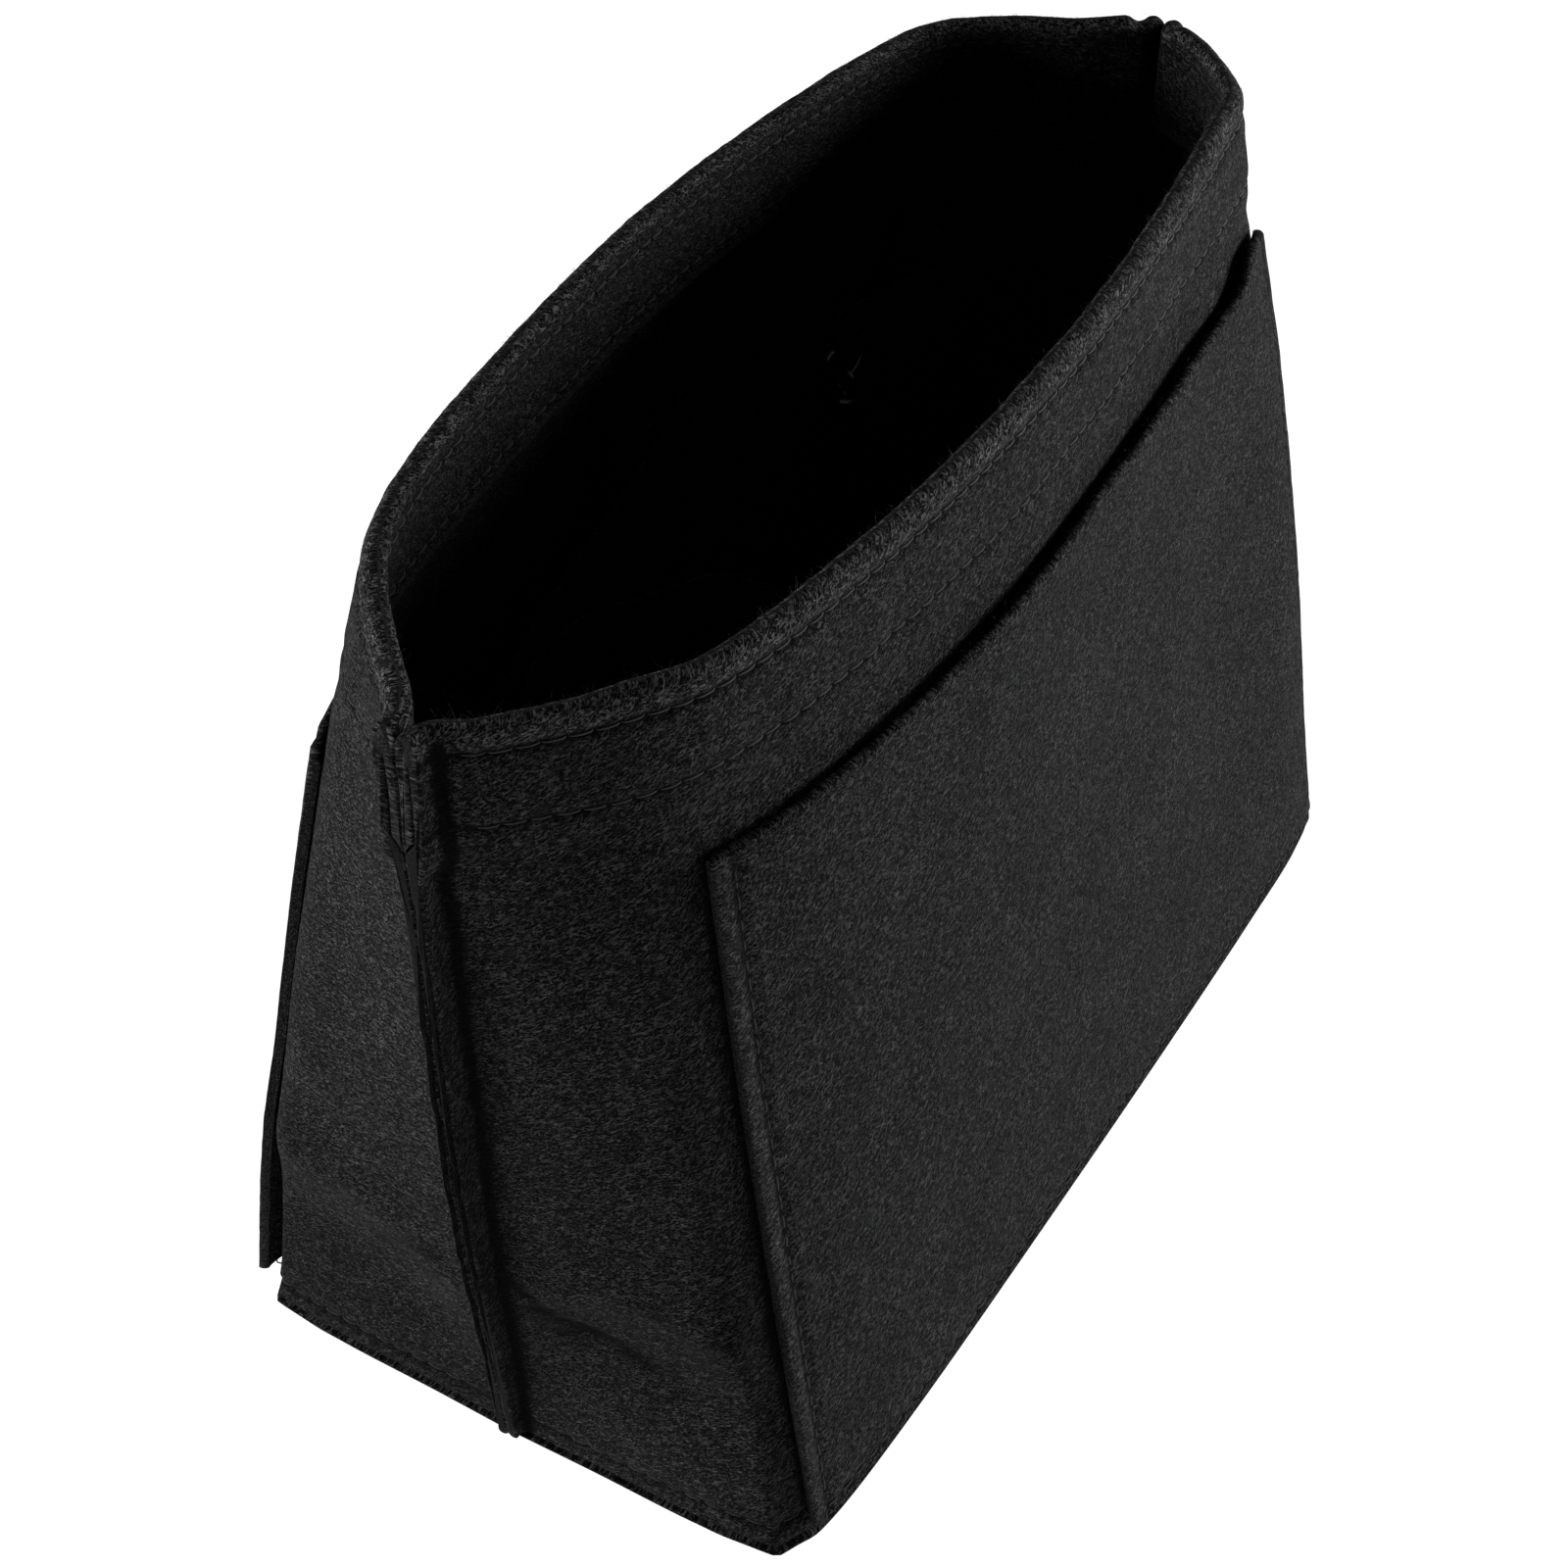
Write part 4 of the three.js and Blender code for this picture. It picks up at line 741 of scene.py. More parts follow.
def build_wall(side, name):
    """The wall as one piece of felt, with its hem turned in."""
    P = wall_outline(side, PZ)                          # (K, N, 2)
    n = inward(P, side)
    s = arc_s(P)
    K, N = P.shape[:2]
    z = PZ[:, None] + np.zeros((K, N))
    span = s[:, N - N_END - 1:N - N_END] * np.ones((1, N))
    w = wall_relief(side, np.clip(s, 0, None), z, P[..., 0], P[..., 1])
    edge = smooth(-1.5, 3.0, s) * smooth(-1.5, 3.0, span - s)
    d = PD[:, None] + np.zeros((K, N))
    kind = PK[:, None]
    outer = (kind == "o") | (kind == "r") | (kind == "b")
    disp = w * edge
    # stitches pull the outer face in and the facing out, towards each other
    pull = np.zeros((K, N))
    pull += np.where(kind == "o", 1.0, 0.0) * (groove(s, z - RIM_STITCH_Z) - puff(z - RIM_STITCH_Z, 1.6, 0.20))
    pull += np.where(kind == "o", 1.0, 0.0) * (groove(s, z - HEM_STITCH_Z, 0.30, 0.9, PITCH, 2.4) - puff(z - HEM_STITCH_Z, 1.6, 0.14))
    pull += np.where(kind == "o", 1.0, 0.0) * (groove(s, z - BASE_STITCH_Z, 0.40, 1.0, PITCH, 0.7) - puff(z - BASE_STITCH_Z, 1.7, 0.22))
    pull -= np.where(kind == "f", 1.0, 0.0) * (groove(s, z - RIM_STITCH_Z, 0.30) - 0.10 + groove(s, z - HEM_STITCH_Z, 0.34, 0.9, PITCH, 2.4))
    pull *= edge
    # the raw lower edge of the facing stands off a little between stitches
    flare = np.where((kind == "f") | (kind == "e"), 1.0, 0.0) * (1 - smooth(157.6, 161.0, z)) * (0.35 + 0.3 * noise(s / 7.0, 0.5, 31 + side))
    # the rolled rim: slightly uneven, with a soft lean
    roll = np.where(kind == "r", 1.0, 0.0) * (0.16 * noise(s / 5.0, z / 2.0, 33 + side) + 0.10 * noise(s / 2.0, z / 1.2, 34 + side))
    d = d - disp + pull + flare * edge - roll
    # inside the seam allowances the felt below the hem fills up to the seam
    wedge = np.where(kind == "i", 1.0, 0.0) * smooth(142, 151, z) * (np.clip(1 - s / 3.5, 0, 1) + np.clip(1 - (span - s) / 3.5, 0, 1)).clip(0, 1)
    d = d + wedge * (np.repeat(seam_half(PZ)[:, None], N, 1) - 0.15 - T)
    # the two walls' inner faces meet in the seam, so no light comes through it
    meet = np.repeat(seam_half(PZ)[:, None], N, 1) + 0.02
    shut = (np.clip(1 - s / 3.5, 0, 1) + np.clip(1 - (span - s) / 3.5, 0, 1)).clip(0, 1)
    d = d + np.where((kind == "i") | (kind == "f"), 1.0, np.where(kind == "e", 0.985, 0.0)) * shut * (meet - d)
    d = np.where(kind == "r", d * (1 + shut * (meet / (2 * T) - 1)), d)
    z2 = z + np.where((kind == "r") | (z > 176), 1.0, 0.0) * (0.30 * noise(s / 33.0, 0.3, 35 + side) + 0.12 * noise(s / 6.0, 0.7, 36 + side) + 0.10)
    z2 = z2 + np.where(kind == "e", 0.25 * noise(s / 4.0, 1.5, 37 + side), 0.0)
    # the far seam allowance is trimmed a little lower than the rim
    z2[:, N - N_END - 1:] -= 1.6 * smooth(170, 180, z[:, N - N_END - 1:]) * smooth(0, 3.0, s[:, N - N_END - 1:] - span[:, :1])
    # tip of the seam allowance: rounded at the top, raw edge thinned
    P3 = P + n * d[..., None]
    top = smooth(174.5, 180.5, z)
    for a, sign in ((slice(0, len(FIN_T)), 1.0), (slice(N - len(FIN_T), N), -1.0)):
        reach = np.abs(P[:, a, 0] - (P[:, N_END - 2:N_END - 1, 0] if sign > 0 else P[:, N - N_END + 1:N - N_END + 2, 0]))
        P3[:, a, 0] += sign * reach * 0.16 * top[:, a] ** 2
        P3[:, a, 0] += sign * 0.30 * noise(z[:, a] / 6.0, 0.2, 38 + side) + sign * 0.12 * noise(z[:, a] / 1.7, 0.9, 39)
    # thin the raw edges at the tips
    lay = np.where(PD > T + 0.001, 1.5 * T, 0.5 * T)[:, None]
    lay = np.where(PK[:, None] == "r", T, lay)
    lay = np.where(PK[:, None] == "e", PD[:, None] - 0.5 * T, lay)
    for col, f in ((0, 0.42), (1, 0.14), (N - 1, 0.42), (N - 2, 0.14)):
        q = (lay[:, 0] - PD)
        P3[:, col] += n[:, col] * (q * f)[:, None]
    G = np.concatenate([P3, z2[..., None]], axis=2).transpose(1, 0, 2)     # (N, K, 3)
    # fibre direction: rises towards the far end at the front, nearly level at the rear
    ang = math.radians(26) if side < 0 else math.radians(-14)
    layer = np.where(PD > T + 0.01, 40.0, np.where(PK == "i", 80.0, 0.0))[:, None] + d * 0.35 + (0 if side < 0 else 200)
    gr = grain_coords(s, z, ang, 0.0)
    gr[..., 2] = layer
    gr = gr.transpose(1, 0, 2)
    verts = G.reshape(-1, 3)
    faces = grid_quads(N, K)
    faces = fix_winding(verts, faces)
    caps = []
    for base, last in ((0, False), ((N - 1) * K, True)):
        ring = list(range(base, base + K))
        caps.append(ring)
    # each end cap is one closed polygon round the whole section
    allf = faces.tolist()
    first = allf[0]
    # direction of the side quads tells the caps' winding: the cap shares the edge 0-1 with the first quad
    same = any(first[i] == 0 and first[(i + 1) % 4] == 1 for i in range(4))
    allf.append(caps[0][::-1] if same else caps[0])
    allf.append(caps[1] if same else caps[1][::-1])
    # pressed felt and painted shade: stitch lines (pressed felt, with the shade of their grooves painted in), and
    # painted shade in the creases, in the corners beside the seams and beside the outer pocket's edges
    pr = np.zeros((K, N, 3))
    on_out = np.where((kind == "o"), 1.0, 0.0)
    on_in = np.where((kind == "f"), 1.0, 0.0)
    wob = 0.10 * noise(s / 3.1, z / 40, 61 + side)
    pr[..., 0] += on_out * (1.35 * seam_line(s, z - RIM_STITCH_Z + wob) + 1.45 * seam_line(s, z - HEM_STITCH_Z + wob, PITCH, 2.4) + 1.35 * seam_line(s, z - BASE_STITCH_Z + wob, PITCH, 0.7))
    pr[..., 0] += on_in * (0.8 * seam_line(s, z - RIM_STITCH_Z + wob) + 0.8 * seam_line(s, z - HEM_STITCH_Z + wob, PITCH, 2.4))
    # painted shade in the crease valleys
    pr[..., 0] += on_out * 1.7 * creases(side, s, z)
    # painted shade in the concave corner beside each seam root
    root, root_far = s[:, 8:9], s[:, N - 9:N - 8]
    corner = (1.0, 1.1, 1.35) if side < 0 else (0.8, 0.5, 0.75)
    ragged = 0.35 * noise(z / 2.6, 0.3, 64 + side)
    pr[..., 0] += on_out * corner[0] * np.exp(-((s - root - corner[1] + ragged) / corner[2]) ** 4)
    pr[..., 0] += on_out * 0.6 * np.exp(-((root_far - s - 0.6) / 0.9) ** 2)
    # painted shade: the wall is darkened beside the outer pocket's edges, where the pocket shades it
    ua, ub = POCKET_U[side]
    top_at = POCKET_Z1[side]
    for edge_u, sign_ in ((ua, 1.0), (ub, -1.0)):
        se = np.array([np.interp(edge_u, panel(side, zz).u, panel(side, zz).s) for zz in PZ])[:, None]
        gap_ = (se - s) * sign_
        pr[..., 0] += on_out * 0.9 * np.exp(-(np.clip(gap_, 0, None) / 1.15) ** 2) * (gap_ > -2.5) * smooth(6, 9, z) * (1 - smooth(top_at - 1.0, top_at + 1.5, z))
    # painted shade: the near end's felt is darkened, towards its foot on the rear wall and in a band about 48 mm up on
    # the front wall
    if side > 0:
        pr[..., 0] += on_out * (1 - smooth(45, 75, s)) * (0.20 * (1 - smooth(45, 95, z)) + 0.14 * (1 - smooth(8, 40, z)))
    else:
        pr[..., 0] += on_out * (1 - smooth(40, 62, s)) * (0.08 + 0.20 * np.exp(-((z - 48.0) / 24.0) ** 2))
    # painted highlight: the facing's raw lower edge and the facing just above it are lighter
    pr[..., 1] += np.where(kind == "e", 1.0, 0.0) + on_in * (1 - smooth(158.0, 158.9, z))
    # painted highlight: the rolled rim and the outer face above the rim stitches are lighter
    pr[..., 2] += np.where(kind == "r", 1.0, 0.0) + on_out * smooth(RIM_STITCH_Z + 0.9, RIM_STITCH_Z + 1.8, z)
    pr = np.clip(pr, 0, 1).transpose(1, 0, 2)
    o = mesh_object(name, verts, allf, {"grain": gr.reshape(-1, 3), "press_and_painted_light": pr.reshape(-1, 3)})
    bm_triangulate_ngons(o)
    return o


def bm_triangulate_ngons(o, sharp=48):
    import bmesh
    bm = bmesh.new()
    bm.from_mesh(o.data)
    big = [f for f in bm.faces if len(f.verts) > 4]
    bmesh.ops.triangulate(bm, faces=big, quad_method="BEAUTY", ngon_method="EAR_CLIP")
    bm.to_mesh(o.data)
    bm.free()
    if sharp:
        o.data.set_sharp_from_angle(angle=math.radians(sharp))


front_wall = finish_piece(build_wall(-1, "front_wall_felt"), FELT, "insert", "felt", "front_wall")
rear_wall = finish_piece(build_wall(1, "rear_wall_felt"), FELT, "insert", "felt", "rear_wall")


# -------------------------------------------------------------- base panel
def ring_outline(z, count):
    """Closed outline of both walls' outer faces at height z: (rows, count, 2)."""
    z = np.atleast_1d(z)
    u = np.linspace(0, 13, 800)
    f = plain_outline(-1, z, u, True)
    r = plain_outline(1, z, u, True)[:, ::-1][:, 1:-1]
    P = np.concatenate([f, r], axis=1)
    out = []
    for row in P:
        q = np.vstack([row, row[:1]])
        s = np.concatenate([[0], np.cumsum(np.hypot(*np.diff(q, axis=0).T))])
        t = np.linspace(0, s[-1], count, endpoint=False)
        out.append(np.stack([np.interp(t, s, q[:, 0]), np.interp(t, s, q[:, 1])], 1))
    return np.array(out)


def closed_inward(P):
    d = np.roll(P, -1, axis=1) - np.roll(P, 1, axis=1)
    d /= np.linalg.norm(d, axis=2, keepdims=True)
    n = np.stack([-d[..., 1], d[..., 0]], axis=2)
    return n


def build_base():
    M = 560
    prof = [(T + GAP + 3.0, 0.0), (0.7, 0.0), (-0.3, 0.0), (-0.66, 0.18), (-0.78, 0.5), (-0.66, 0.8), (-0.2, 0.93), (1.9, 0.93), (2.28, 1.2)]
    prof += [(T + GAP + 0.02, z) for z in (2.5, 4.0, 5.4, 6.2, 7.0, 8.5, 10.0, 11.2)]
    prof += [(T + GAP + 0.3, 11.85), (1.5 * T + GAP, 12.05), (2 * T + GAP - 0.3, 11.85)]
    prof += [(2 * T + GAP, z) for z in (11.2, 10.0, 8.5, 7.0, 6.2, 5.4, 4.4, 3.4)]
    prof += [(2 * T + GAP + 0.25, 2.5), (2 * T + GAP + 0.9, 2.05)]
    D, Z = np.array([p[0] for p in prof]), np.array([p[1] for p in prof])
    P = ring_outline(Z, M)
    n = closed_inward(P)
    s = np.arange(M) / M * 720.0
    rings = P + n * D[:, None, None]
    zz = np.repeat(Z[:, None], M, 1)
    wav = 0.10 * noise(s / 9, 0.1, 61)[None] * (Z > 9)[:, None]
    rings = rings + n * wav[..., None]
    inner_pull = ((Z > 4.5) & (Z < 8) & (D > 3.5)).astype(float)[:, None] * groove(s[None], zz - BASE_STITCH_Z, 0.3, 1.0)
    rings = rings - n * inner_pull[..., None]
    zz[(Z > 11)] += 0.25 * noise(s / 5, 2.2, 62)[None]
    # floor: rings that shrink onto the middle line, top and underside
    def shrink(ring, t):
        c = np.stack([np.clip(ring[:, 0], -62, 62), 0 * ring[:, 1]], 1)
        return ring * (1 - t) + c * t
    steps = [0.03, 0.08, 0.14, 0.22, 0.31, 0.41, 0.52, 0.63, 0.74, 0.84, 0.92, 0.97]
    top = [shrink(rings[-1], t) for t in steps]
    bot = [shrink(rings[0], t) for t in steps[::-1]]
    def sag(q, t):
        return 0.22 * noise(q[:, 0] / 31, q[:, 1] / 27, 63) + 0.10 * noise(q[:, 0] / 9, q[:, 1] / 9, 64)
    topz = [T + (sag(q, t) * smooth(0, 0.2, t)) for q, t in zip(top, steps)]
    botz = [np.clip(0.10 + sag(q, t) * 0.4, 0.0, 0.5) * smooth(0, 0.1, t) for q, t in zip(bot, steps[::-1])]
    R = np.array(bot + list(rings) + top)
    ZZ = np.array(botz + list(zz) + topz)
    G = np.concatenate([R, ZZ[..., None]], axis=2)          # (K, M, 3)
    K = len(G)
    verts = G.reshape(-1, 3)
    k, j = np.arange(K - 1)[:, None], np.arange(M)[None]
    j2 = (j + 1) % M
    q = np.stack(np.broadcast_arrays(k * M + j, k * M + j2, (k + 1) * M + j2, (k + 1) * M + j), -1).reshape(-1, 4)
    # the last rings are closed by quads across the middle line
    def close(base, flip):
        half = M // 2
        f = []
        for a in range(half - 1):
            f.append([base + a, base + a + 1, base + (M - 2 - a) % M, base + (M - 1 - a) % M])
        return [x[::-1] for x in f] if flip else f
    faces = q.tolist() + close(0, True) + close((K - 1) * M, False)
    # face directions are made consistent below
    xx, yy = verts[:, 0], verts[:, 1]
    isfloor = np.zeros(K, bool); isfloor[:len(bot)] = True; isfloor[-len(top):] = True
    ga = np.where(isfloor[:, None], R[..., 0], s[None] * 1.0)
    gb = np.where(isfloor[:, None], R[..., 1], ZZ)
    gr = grain_coords(ga, gb, math.radians(20), 300.0)
    gr[..., 2] += ZZ * 0.35
    o = mesh_object("base_panel_felt", verts, faces, {"grain": gr.reshape(-1, 3)})
    recalc(o)
    return o


def recalc(o):
    import bmesh
    bm = bmesh.new()
    bm.from_mesh(o.data)
    bmesh.ops.recalc_face_normals(bm, faces=bm.faces)
    bm.to_mesh(o.data)
    bm.free()


base_felt = finish_piece(build_base(), FELT, "insert", "felt", "base_panel")


# ----------------------------------------------------------- outer pockets
def pocket_top(side, u):
    a, b = POCKET_U[side]
    return POCKET_Z1[side] + 2.4 * np.sin(np.pi * np.clip((u - a) / (b - a), 0, 1)) + (5.2 * smooth(8.45, 9.1, u) if side < 0 else 0.0)


def belly(side, u, f):
    a, b = POCKET_U[side]
    b_ = 1.7 * np.sin(np.pi * np.clip((u - a) / (b - a), 0, 1)) ** 0.8 * np.clip(f, 0, 1) ** 2.5
    if side < 0:
        return b_
    # the rear pocket's near edge springs away from the wall, most at its foot
    return b_ + (0.1 + 2.6 * (1 - smooth(0.0, 0.55, f))) * (1 - smooth(3.4, 3.85, u))


HEIGHTS = np.linspace(0, 180, 181)
UU = np.linspace(0, 13, 1301)
TABLE = {k: plain_outline(k, HEIGHTS, UU) for k in (-1, 1)}


def wall_at(side, z, u):
    """A wall's outer face at heights z and stations u, of the same shape."""
    G = TABLE[side]
    a, b = np.clip(np.asarray(z, float), 0, 179.999), np.clip(np.asarray(u, float) * 100, 0, 1299.999)
    i, j = a.astype(int), b.astype(int)
    p, q = (a - i)[..., None], (b - j)[..., None]
    return (G[i, j] * (1 - p) + G[i + 1, j] * p) * (1 - q) + (G[i, j + 1] * (1 - p) + G[i + 1, j + 1] * p) * q


def build_outer_pocket(side, name):
    seed = 70 if side < 0 else 90
    ua, ub = POCKET_U[side]
    keep = U_FINE[(U_FINE > ua + 0.03) & (U_FINE < ub - 0.03)]
    us = np.concatenate([[ua, ua + 0.006, ua + 0.016], keep, [ub - 0.016, ub - 0.006, ub]])
    fs = np.array(dense_rows(0.35, 142.4, 1.9, (2.2,), fine=0.55, reach=2.0)) / 143.0
    nf = len(fs)
    # profile: outside up, rounded top, inside down, rounded foot
    rows = [(1.0, f, "o") for f in fs] + [(0.82, 1.0 - 0.12 / 143, "t"), (0.5, 1.0, "t"), (0.18, 1.0 - 0.12 / 143, "t")]
    fi = np.linspace(fs[-1], fs[0], 44)
    rows += [(0.0, f, "i") for f in fi] + [(0.2, 0.0007, "b"), (0.5, 0.0, "b"), (0.8, 0.0007, "b")]
    A, F = np.array([r[0] for r in rows]), np.array([r[1] for r in rows])
    kind = np.array([r[2] for r in rows])
    K, N = len(rows), len(us)
    # distance along the pocket from its two edges, at mid height
    pm = outline(side, [80.0], us)[0]
    sa = np.concatenate([[0], np.cumsum(np.hypot(*np.diff(pm, axis=0).T))])
    L = sa[-1]
    e = np.minimum(sa, L - sa)
    R = 3.2
    drop = np.where(e < R, R - np.sqrt(np.clip(R * R - (R - e) ** 2, 0, None)), 0) * (0.75 if side > 0 else 0.30)
    zt = pocket_top(side, us) - drop + 0.35 * noise(sa / 23, 0.4, seed) + 0.12 * noise(sa / 5, 0.9, seed + 1)
    Z = POCKET_Z0 + F[:, None] * (zt[None] - POCKET_Z0)
    # the outline at each point's own height
    def plan(zz, uu):
        return wall_at(side, zz, np.broadcast_to(uu, zz.shape))
    Pc = plan(Z, us)
    dv = plan(Z, us + 0.03) - plan(Z, us - 0.03)
    dv /= np.linalg.norm(dv, axis=2, keepdims=True)
    sg = -1 if side < 0 else 1
    outn = np.stack([-dv[..., 1] * sg, dv[..., 0] * sg], axis=2)
    S2 = np.repeat(sa[None], K, 0)
    E = np.repeat(e[None], K, 0)
    # relief shared by both faces
    w = 0.34 * noise(S2 / 41, Z / 36, seed + 2) + 0.20 * noise(S2 / 15, Z / 13, seed + 3)
    w = w * smooth(4, 16, Z) * smooth(2, 12, E)
    w = w + 0.5 * smooth(120, 147, Z) * np.sin(np.pi * np.clip(S2 / L, 0, 1)) ** 0.7
    fine = 0.05 * noise(S2 / 2.1, Z / 2.1, seed + 4) + 0.028 * noise(S2 / 1.05, Z / 1.05, seed + 5)
    out = np.repeat((kind != "i")[:, None], N, 1).astype(float) * np.repeat((A > 0.4)[:, None], N, 1)
    side_line = 3.9
    zz0 = Z
    pull = groove(Z, E - side_line, 0.36, 0.95, PITCH, 2.0) - puff(E - side_line, 1.3, 0.16) + groove(S2, Z - BASE_STITCH_Z, 0.42, 1.0, PITCH, 1.1) * smooth(1, 3, E)
    edge_puff = 0.10 * np.exp(-((E - 1.8) / 1.2) ** 2)
    b = belly(side, us[None], F[:, None])
    off = GAP + b + np.clip(w, -0.05, None) + 0.12 + A[:, None] * T + out * (fine - pull + edge_puff)
    # raw side edges: rounded by drawing the two faces together
    squeeze = np.clip(1 - E / 0.3, 0, 1) ** 2 * 0.12
    off = off + (0.5 - A[:, None]) * T * squeeze * 2 * 0.5
    P3 = Pc + outn * off[..., None]
    G = np.concatenate([P3, Z[..., None]], axis=2).transpose(1, 0, 2)
    gr = grain_coords(S2, Z, math.radians(26 if side < 0 else -14), 0.0)
    gr[..., 2] = 400.0 + seed + (A * T * 0.35)[:, None] + np.where(kind == "i", 9.0, 0.0)[:, None]
    gr = gr.transpose(1, 0, 2)
    verts = G.reshape(-1, 3)
    faces = fix_winding(verts, grid_quads(N, K)).tolist()
    first = faces[0]
    same = any(first[i] == 0 and first[(i + 1) % 4] == 1 for i in range(4))
    c0, c1 = list(range(K)), list(range((N - 1) * K, N * K))
    faces.append(c0[::-1] if same else c0)
    faces.append(c1 if same else c1[::-1])
    pr = np.zeros((K, N, 3))
    wob = 0.14 * noise(Z / 3.3, E * 0.1, 62 + side) + 0.08 * noise(Z / 1.1, E * 0.1, 63 + side)
    # pressed felt and painted shade along the side and base stitch lines
    pr[..., 0] = out * (1.5 * seam_line(Z, E - side_line + wob, PITCH, 2.0, 0.50) * smooth(6, 9, Z) + 1.35 * seam_line(S2, Z - BASE_STITCH_Z, PITCH, 1.1) * smooth(1, 3, E))
    # painted highlight: a lighter band along the side edges
    pr[..., 1] = out * 0.28 * np.exp(-((E - 1.3) / 1.4) ** 4)
    # painted highlight: the side edges and the top edge brightened
    pr[..., 2] = out * (0.55 * np.exp(-((E - 1.2) / 1.3) ** 4) + 0.3 * np.exp(-((Z - zt[None] + 0.8) / 0.8) ** 4))
    pr = np.clip(pr, 0, 1).transpose(1, 0, 2)
    o = mesh_object(name, verts, faces, {"grain": gr.reshape(-1, 3), "press_and_painted_light": pr.reshape(-1, 3)})
    bm_triangulate_ngons(o)
    return o, {"us": us, "sa": sa, "L": L, "zt": zt, "side": side}


def pocket_surface(side, u, z, h):
    """Points on a pocket's outside, h above the felt, with normals."""
    u, z, h = np.broadcast_arrays(np.asarray(u, float), np.asarray(z, float), np.asarray(h, float))
    p = wall_at(side, z.ravel(), u.ravel())
    dv = wall_at(side, z.ravel(), u.ravel() + 0.03) - wall_at(side, z.ravel(), u.ravel() - 0.03)
    dv /= np.linalg.norm(dv, axis=1, keepdims=True)
    sg = -1 if side < 0 else 1
    n = np.stack([-dv[:, 1] * sg, dv[:, 0] * sg], 1)
    b = belly(side, u.ravel(), (z.ravel() - POCKET_Z0) / (pocket_top(side, u.ravel()) - POCKET_Z0))
    p = p + n * (GAP + 0.12 + b + T + h.ravel())[:, None]
    return np.hstack([p, z.ravel()[:, None]]).reshape(*u.shape, 3), np.hstack([n, 0 * z.ravel()[:, None]]).reshape(*u.shape, 3)


fp, front_pocket_info = build_outer_pocket(-1, "front_outer_pocket_felt")
rp, rear_pocket_info = build_outer_pocket(1, "rear_outer_pocket_felt")
front_outer = finish_piece(fp, FELT, "insert", "felt", "front_outer_pocket")
rear_outer = finish_piece(rp, FELT, "insert", "felt", "rear_outer_pocket")


# ----------------------------------------------------- inner pocket strips
CONTACT_TOP = T + GAP + 0.1 + STRIP_T / 2
CONTACT_BOT = 2 * T + 2 * GAP + 0.2 + STRIP_T / 2


def smooth_point(side, u, z, d):
    p = outline(side, [z], [u, u - 0.01, u + 0.01])[0]
    dv = p[2] - p[1]
    dv /= np.linalg.norm(dv)
    s = 1 if side < 0 else -1
    return p[0] + np.array([-dv[1] * s, dv[0] * s]) * d


def u_at_x(side, x, z):
    a, b = 1.0, 12.0
    P = control(side, [z])
    for _ in range(40):
        m = (a + b) / 2
        if crom(P, [m])[0, 0, 0] < x:
            a = m
        else:
            b = m
    return (a + b) / 2


def strip_ends(side, e):
    if e[0] == "u":
        return smooth_point(side, e[1], STRIP_Z1, CONTACT_TOP), smooth_point(side, e[1], STRIP_Z0, CONTACT_BOT)
    if e[0] == "w":
        return (smooth_point(side, u_at_x(side, e[1] * S, STRIP_Z1), STRIP_Z1, CONTACT_TOP),
                smooth_point(side, u_at_x(side, e[2] * S, STRIP_Z0), STRIP_Z0, CONTACT_BOT))
    return np.array(e[1:3]) * S, np.array(e[3:5]) * S


REAR_STRIP = [
    ("w", -0.535, -0.575), ("w", -0.512, -0.548), ("w", -0.496, -0.530), ("f", -0.470, 0.186, -0.512, 0.300), ("f", -0.459, 0.163, -0.505, 0.284),
    ("f", -0.463, 0.134, -0.507, 0.266), ("f", -0.452, 0.122, -0.495, 0.256), ("f", -0.36, 0.141, -0.37, 0.262), ("f", -0.25, 0.165, -0.25, 0.267),
    ("f", -0.12, 0.190, -0.12, 0.272), ("f", -0.03, 0.207, -0.03, 0.275), ("f", 0.030, 0.2165, 0.028, 0.276), ("f", 0.0355, 0.2285, 0.0335, 0.287),
    ("f", -0.020, 0.246, -0.022, 0.297), ("w", -0.016, -0.018), ("w", 0.020, 0.020), ("w", 0.058, 0.062), ("f", 0.073, 0.250, 0.078, 0.297),
    ("f", 0.0525, 0.2275, 0.0515, 0.286), ("f", 0.058, 0.2155, 0.057, 0.275), ("f", 0.12, 0.203, 0.12, 0.272), ("f", 0.21, 0.187, 0.21, 0.268),
    ("f", 0.307, 0.166, 0.307, 0.262), ("f", 0.40, 0.138, 0.40, 0.256), ("f", 0.478, 0.103, 0.500, 0.250), ("f", 0.492, 0.110, 0.514, 0.258),
    ("f", 0.498, 0.150, 0.518, 0.272), ("f", 0.507, 0.188, 0.527, 0.288), ("f", 0.524, 0.212, 0.545, 0.303), ("w", 0.552, 0.568), ("w", 0.568, 0.586), ("w", 0.584, 0.606)]
